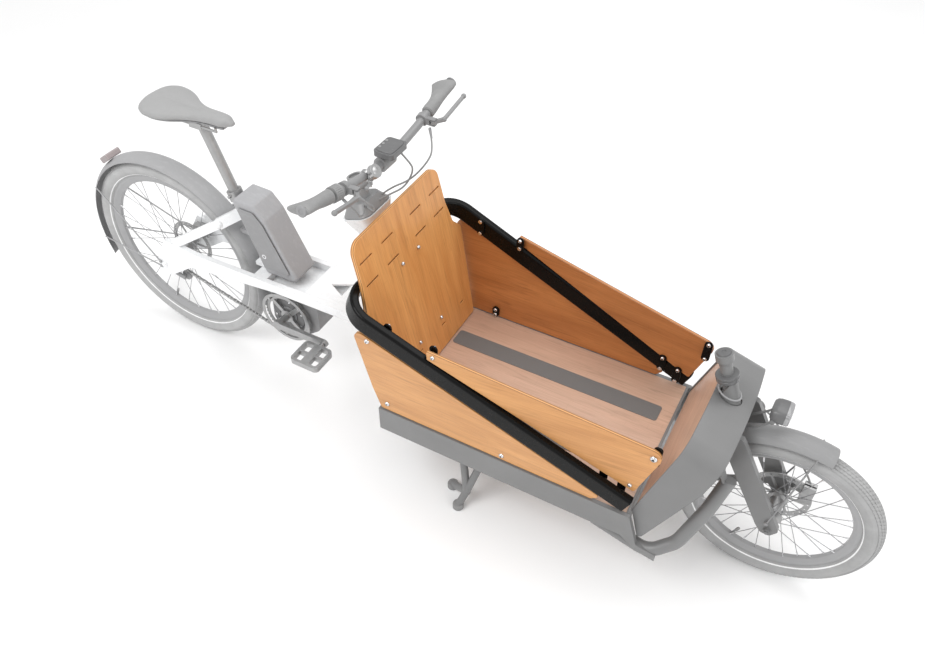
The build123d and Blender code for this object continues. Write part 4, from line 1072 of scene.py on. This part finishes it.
def make_drive():
    """The chainring's guard, the motor's cover, the battery's side panels and the calipers' covers."""
    guard = Shape()
    guard.lathe([(0.0800, -0.0010), (0.0900, -0.0010), (0.0906, 0.0), (0.0900, 0.0010), (0.0800, 0.0010)],
                at(458, -58, 283), (0, -1, 0), steps=96, closed=True)
    for turn in (45, 135, 225, 315):
        spot = at(458 + 78 * cos(radians(turn)), -56, 283 + 78 * sin(radians(turn)))
        guard.lathe([(0.0052, -0.0040), (0.0052, 0.0035), (0.0040, 0.0045), (0, 0.0045)], spot,
                    (0, -1, 0), steps=20)
    guard.make("ring_guard", ["dark_metal"], body_of("crankset"), "steel")
    cover = Shape()
    for side in (-1, 1):
        face = at(458, -38 if side < 0 else 58, 283)
        cover.lathe([(0.034, 0), (0.058, 0), (0.060, 0.0012), (0.058, 0.0034), (0.050, 0.0046),
                     (0.034, 0.0046)], face - Vector((0, side * 0.0004, 0)), (0, side, 0), steps=72,
                    closed=True)
        for turn in range(20, 380, 60):
            spot = face + Vector((0.053 * cos(radians(turn)), side * 0.004, 0.053 * sin(radians(turn))))
            cover.lathe([(0.0036, -0.0010), (0.0036, 0.0012), (0.0028, 0.0020), (0, 0.0020)], spot,
                        (0, side, 0), steps=16, look=1)
    cover.make("motor_cover", ["gloss_dark", "steel"], body_of("motor"), "dark_plastic")
    case = Shape()
    outline = [(402, 440), (500, 440), (509, 452), (428, 628), (394, 666), (336, 668), (330, 658)]
    centre = Vector((415, 553))
    rim = []
    for index, point in enumerate(outline):
        a, b = Vector(point), Vector(outline[(index + 1) % len(outline)])
        rim += [a.lerp(b, share / 6) for share in range(6)]
    flat = [(centre + (point - centre) * 0.86) / 1000 for point in rim]
    for side in (-1, 1):
        case.plate(flat, at(0, side * 48.1, 0), (1, 0, 0), (0, 0, 1), 0.0026, chamfer=0.0012)
    case.lathe([(0.009, -0.001), (0.009, 0.0018), (0.0075, 0.0028), (0.0045, 0.0028), (0.004, 0.0016),
                (0, 0.0016)], at(410, -48, 500), (0, -1, 0), steps=32, look=1)
    case.make("battery_sides", ["plastic", "steel"], body_of("battery"), "dark_plastic")
    for node, middle, radius in (("front_caliper", at(2017, 60, 300), 0.011), ("rear_caliper", None, 0.012)):
        low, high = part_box(node)
        spot = Vector((middle.x, high.y - 0.0005, middle.z)) if middle else Vector(
            ((low.x + high.x) / 2, high.y - 0.0005, (low.z + high.z) / 2))
        lid = Shape()
        lid.lathe([(radius, -0.001), (radius, 0.0015), (radius * 0.85, 0.0028), (radius * 0.5, 0.0028),
                   (radius * 0.45, 0.0018), (0, 0.0018)], spot, (0, 1, 0), steps=32)
        lid.make(node + "_lid", ["alloy"], body_of(node), "alloy")


def make_feet():
    """Rubber shoes under the stand, and rubber boots on the steering rod's joints."""
    shape = Shape()
    for side in (-1, 1):
        for x, y in ((1172, 240), (1124, 184)):
            shape.lathe([(0.0150, 0.0002), (0.0162, 0.0018), (0.0162, 0.0150), (0.0152, 0.0185),
                         (0.0120, 0.0200)], at(x, side * y, 0), (0, 0, 1), steps=36)
    shape.make("stand_shoes", ["rubber"], body_of("stand"), "rubber")
    boots = Shape()
    # The rod's pivots: the rear one is as far behind the front one as the two steering axes are apart.
    front_pivot = 1776
    rear_pivot = front_pivot - 1752 + 925 - 620 / tan(STEER_ANGLE) + 320 / tan(STEER_ANGLE)
    for x in (rear_pivot, front_pivot):
        for way in (-1, 1):
            boots.lathe([(0.0118, 0.0085), (0.0126, 0.0095), (0.0112, 0.0108), (0.0118, 0.0120),
                         (0.0080, 0.0140)], at(x, 92, 128), COLUMN_UP * way, steps=28)
    boots.make("rod_boots", ["rubber"], body_of("tie_rod"), "rubber")


make_camera()
make_lights()
make_floor()
dress_frame()
make_wheels()
make_saddle()
for left in (True, False):
    make_grip(left)
make_leads()
make_bolts()
make_brackets()
make_headlight()
make_front_column()
make_bar_parts()
make_chain()
make_drive()
make_feet()
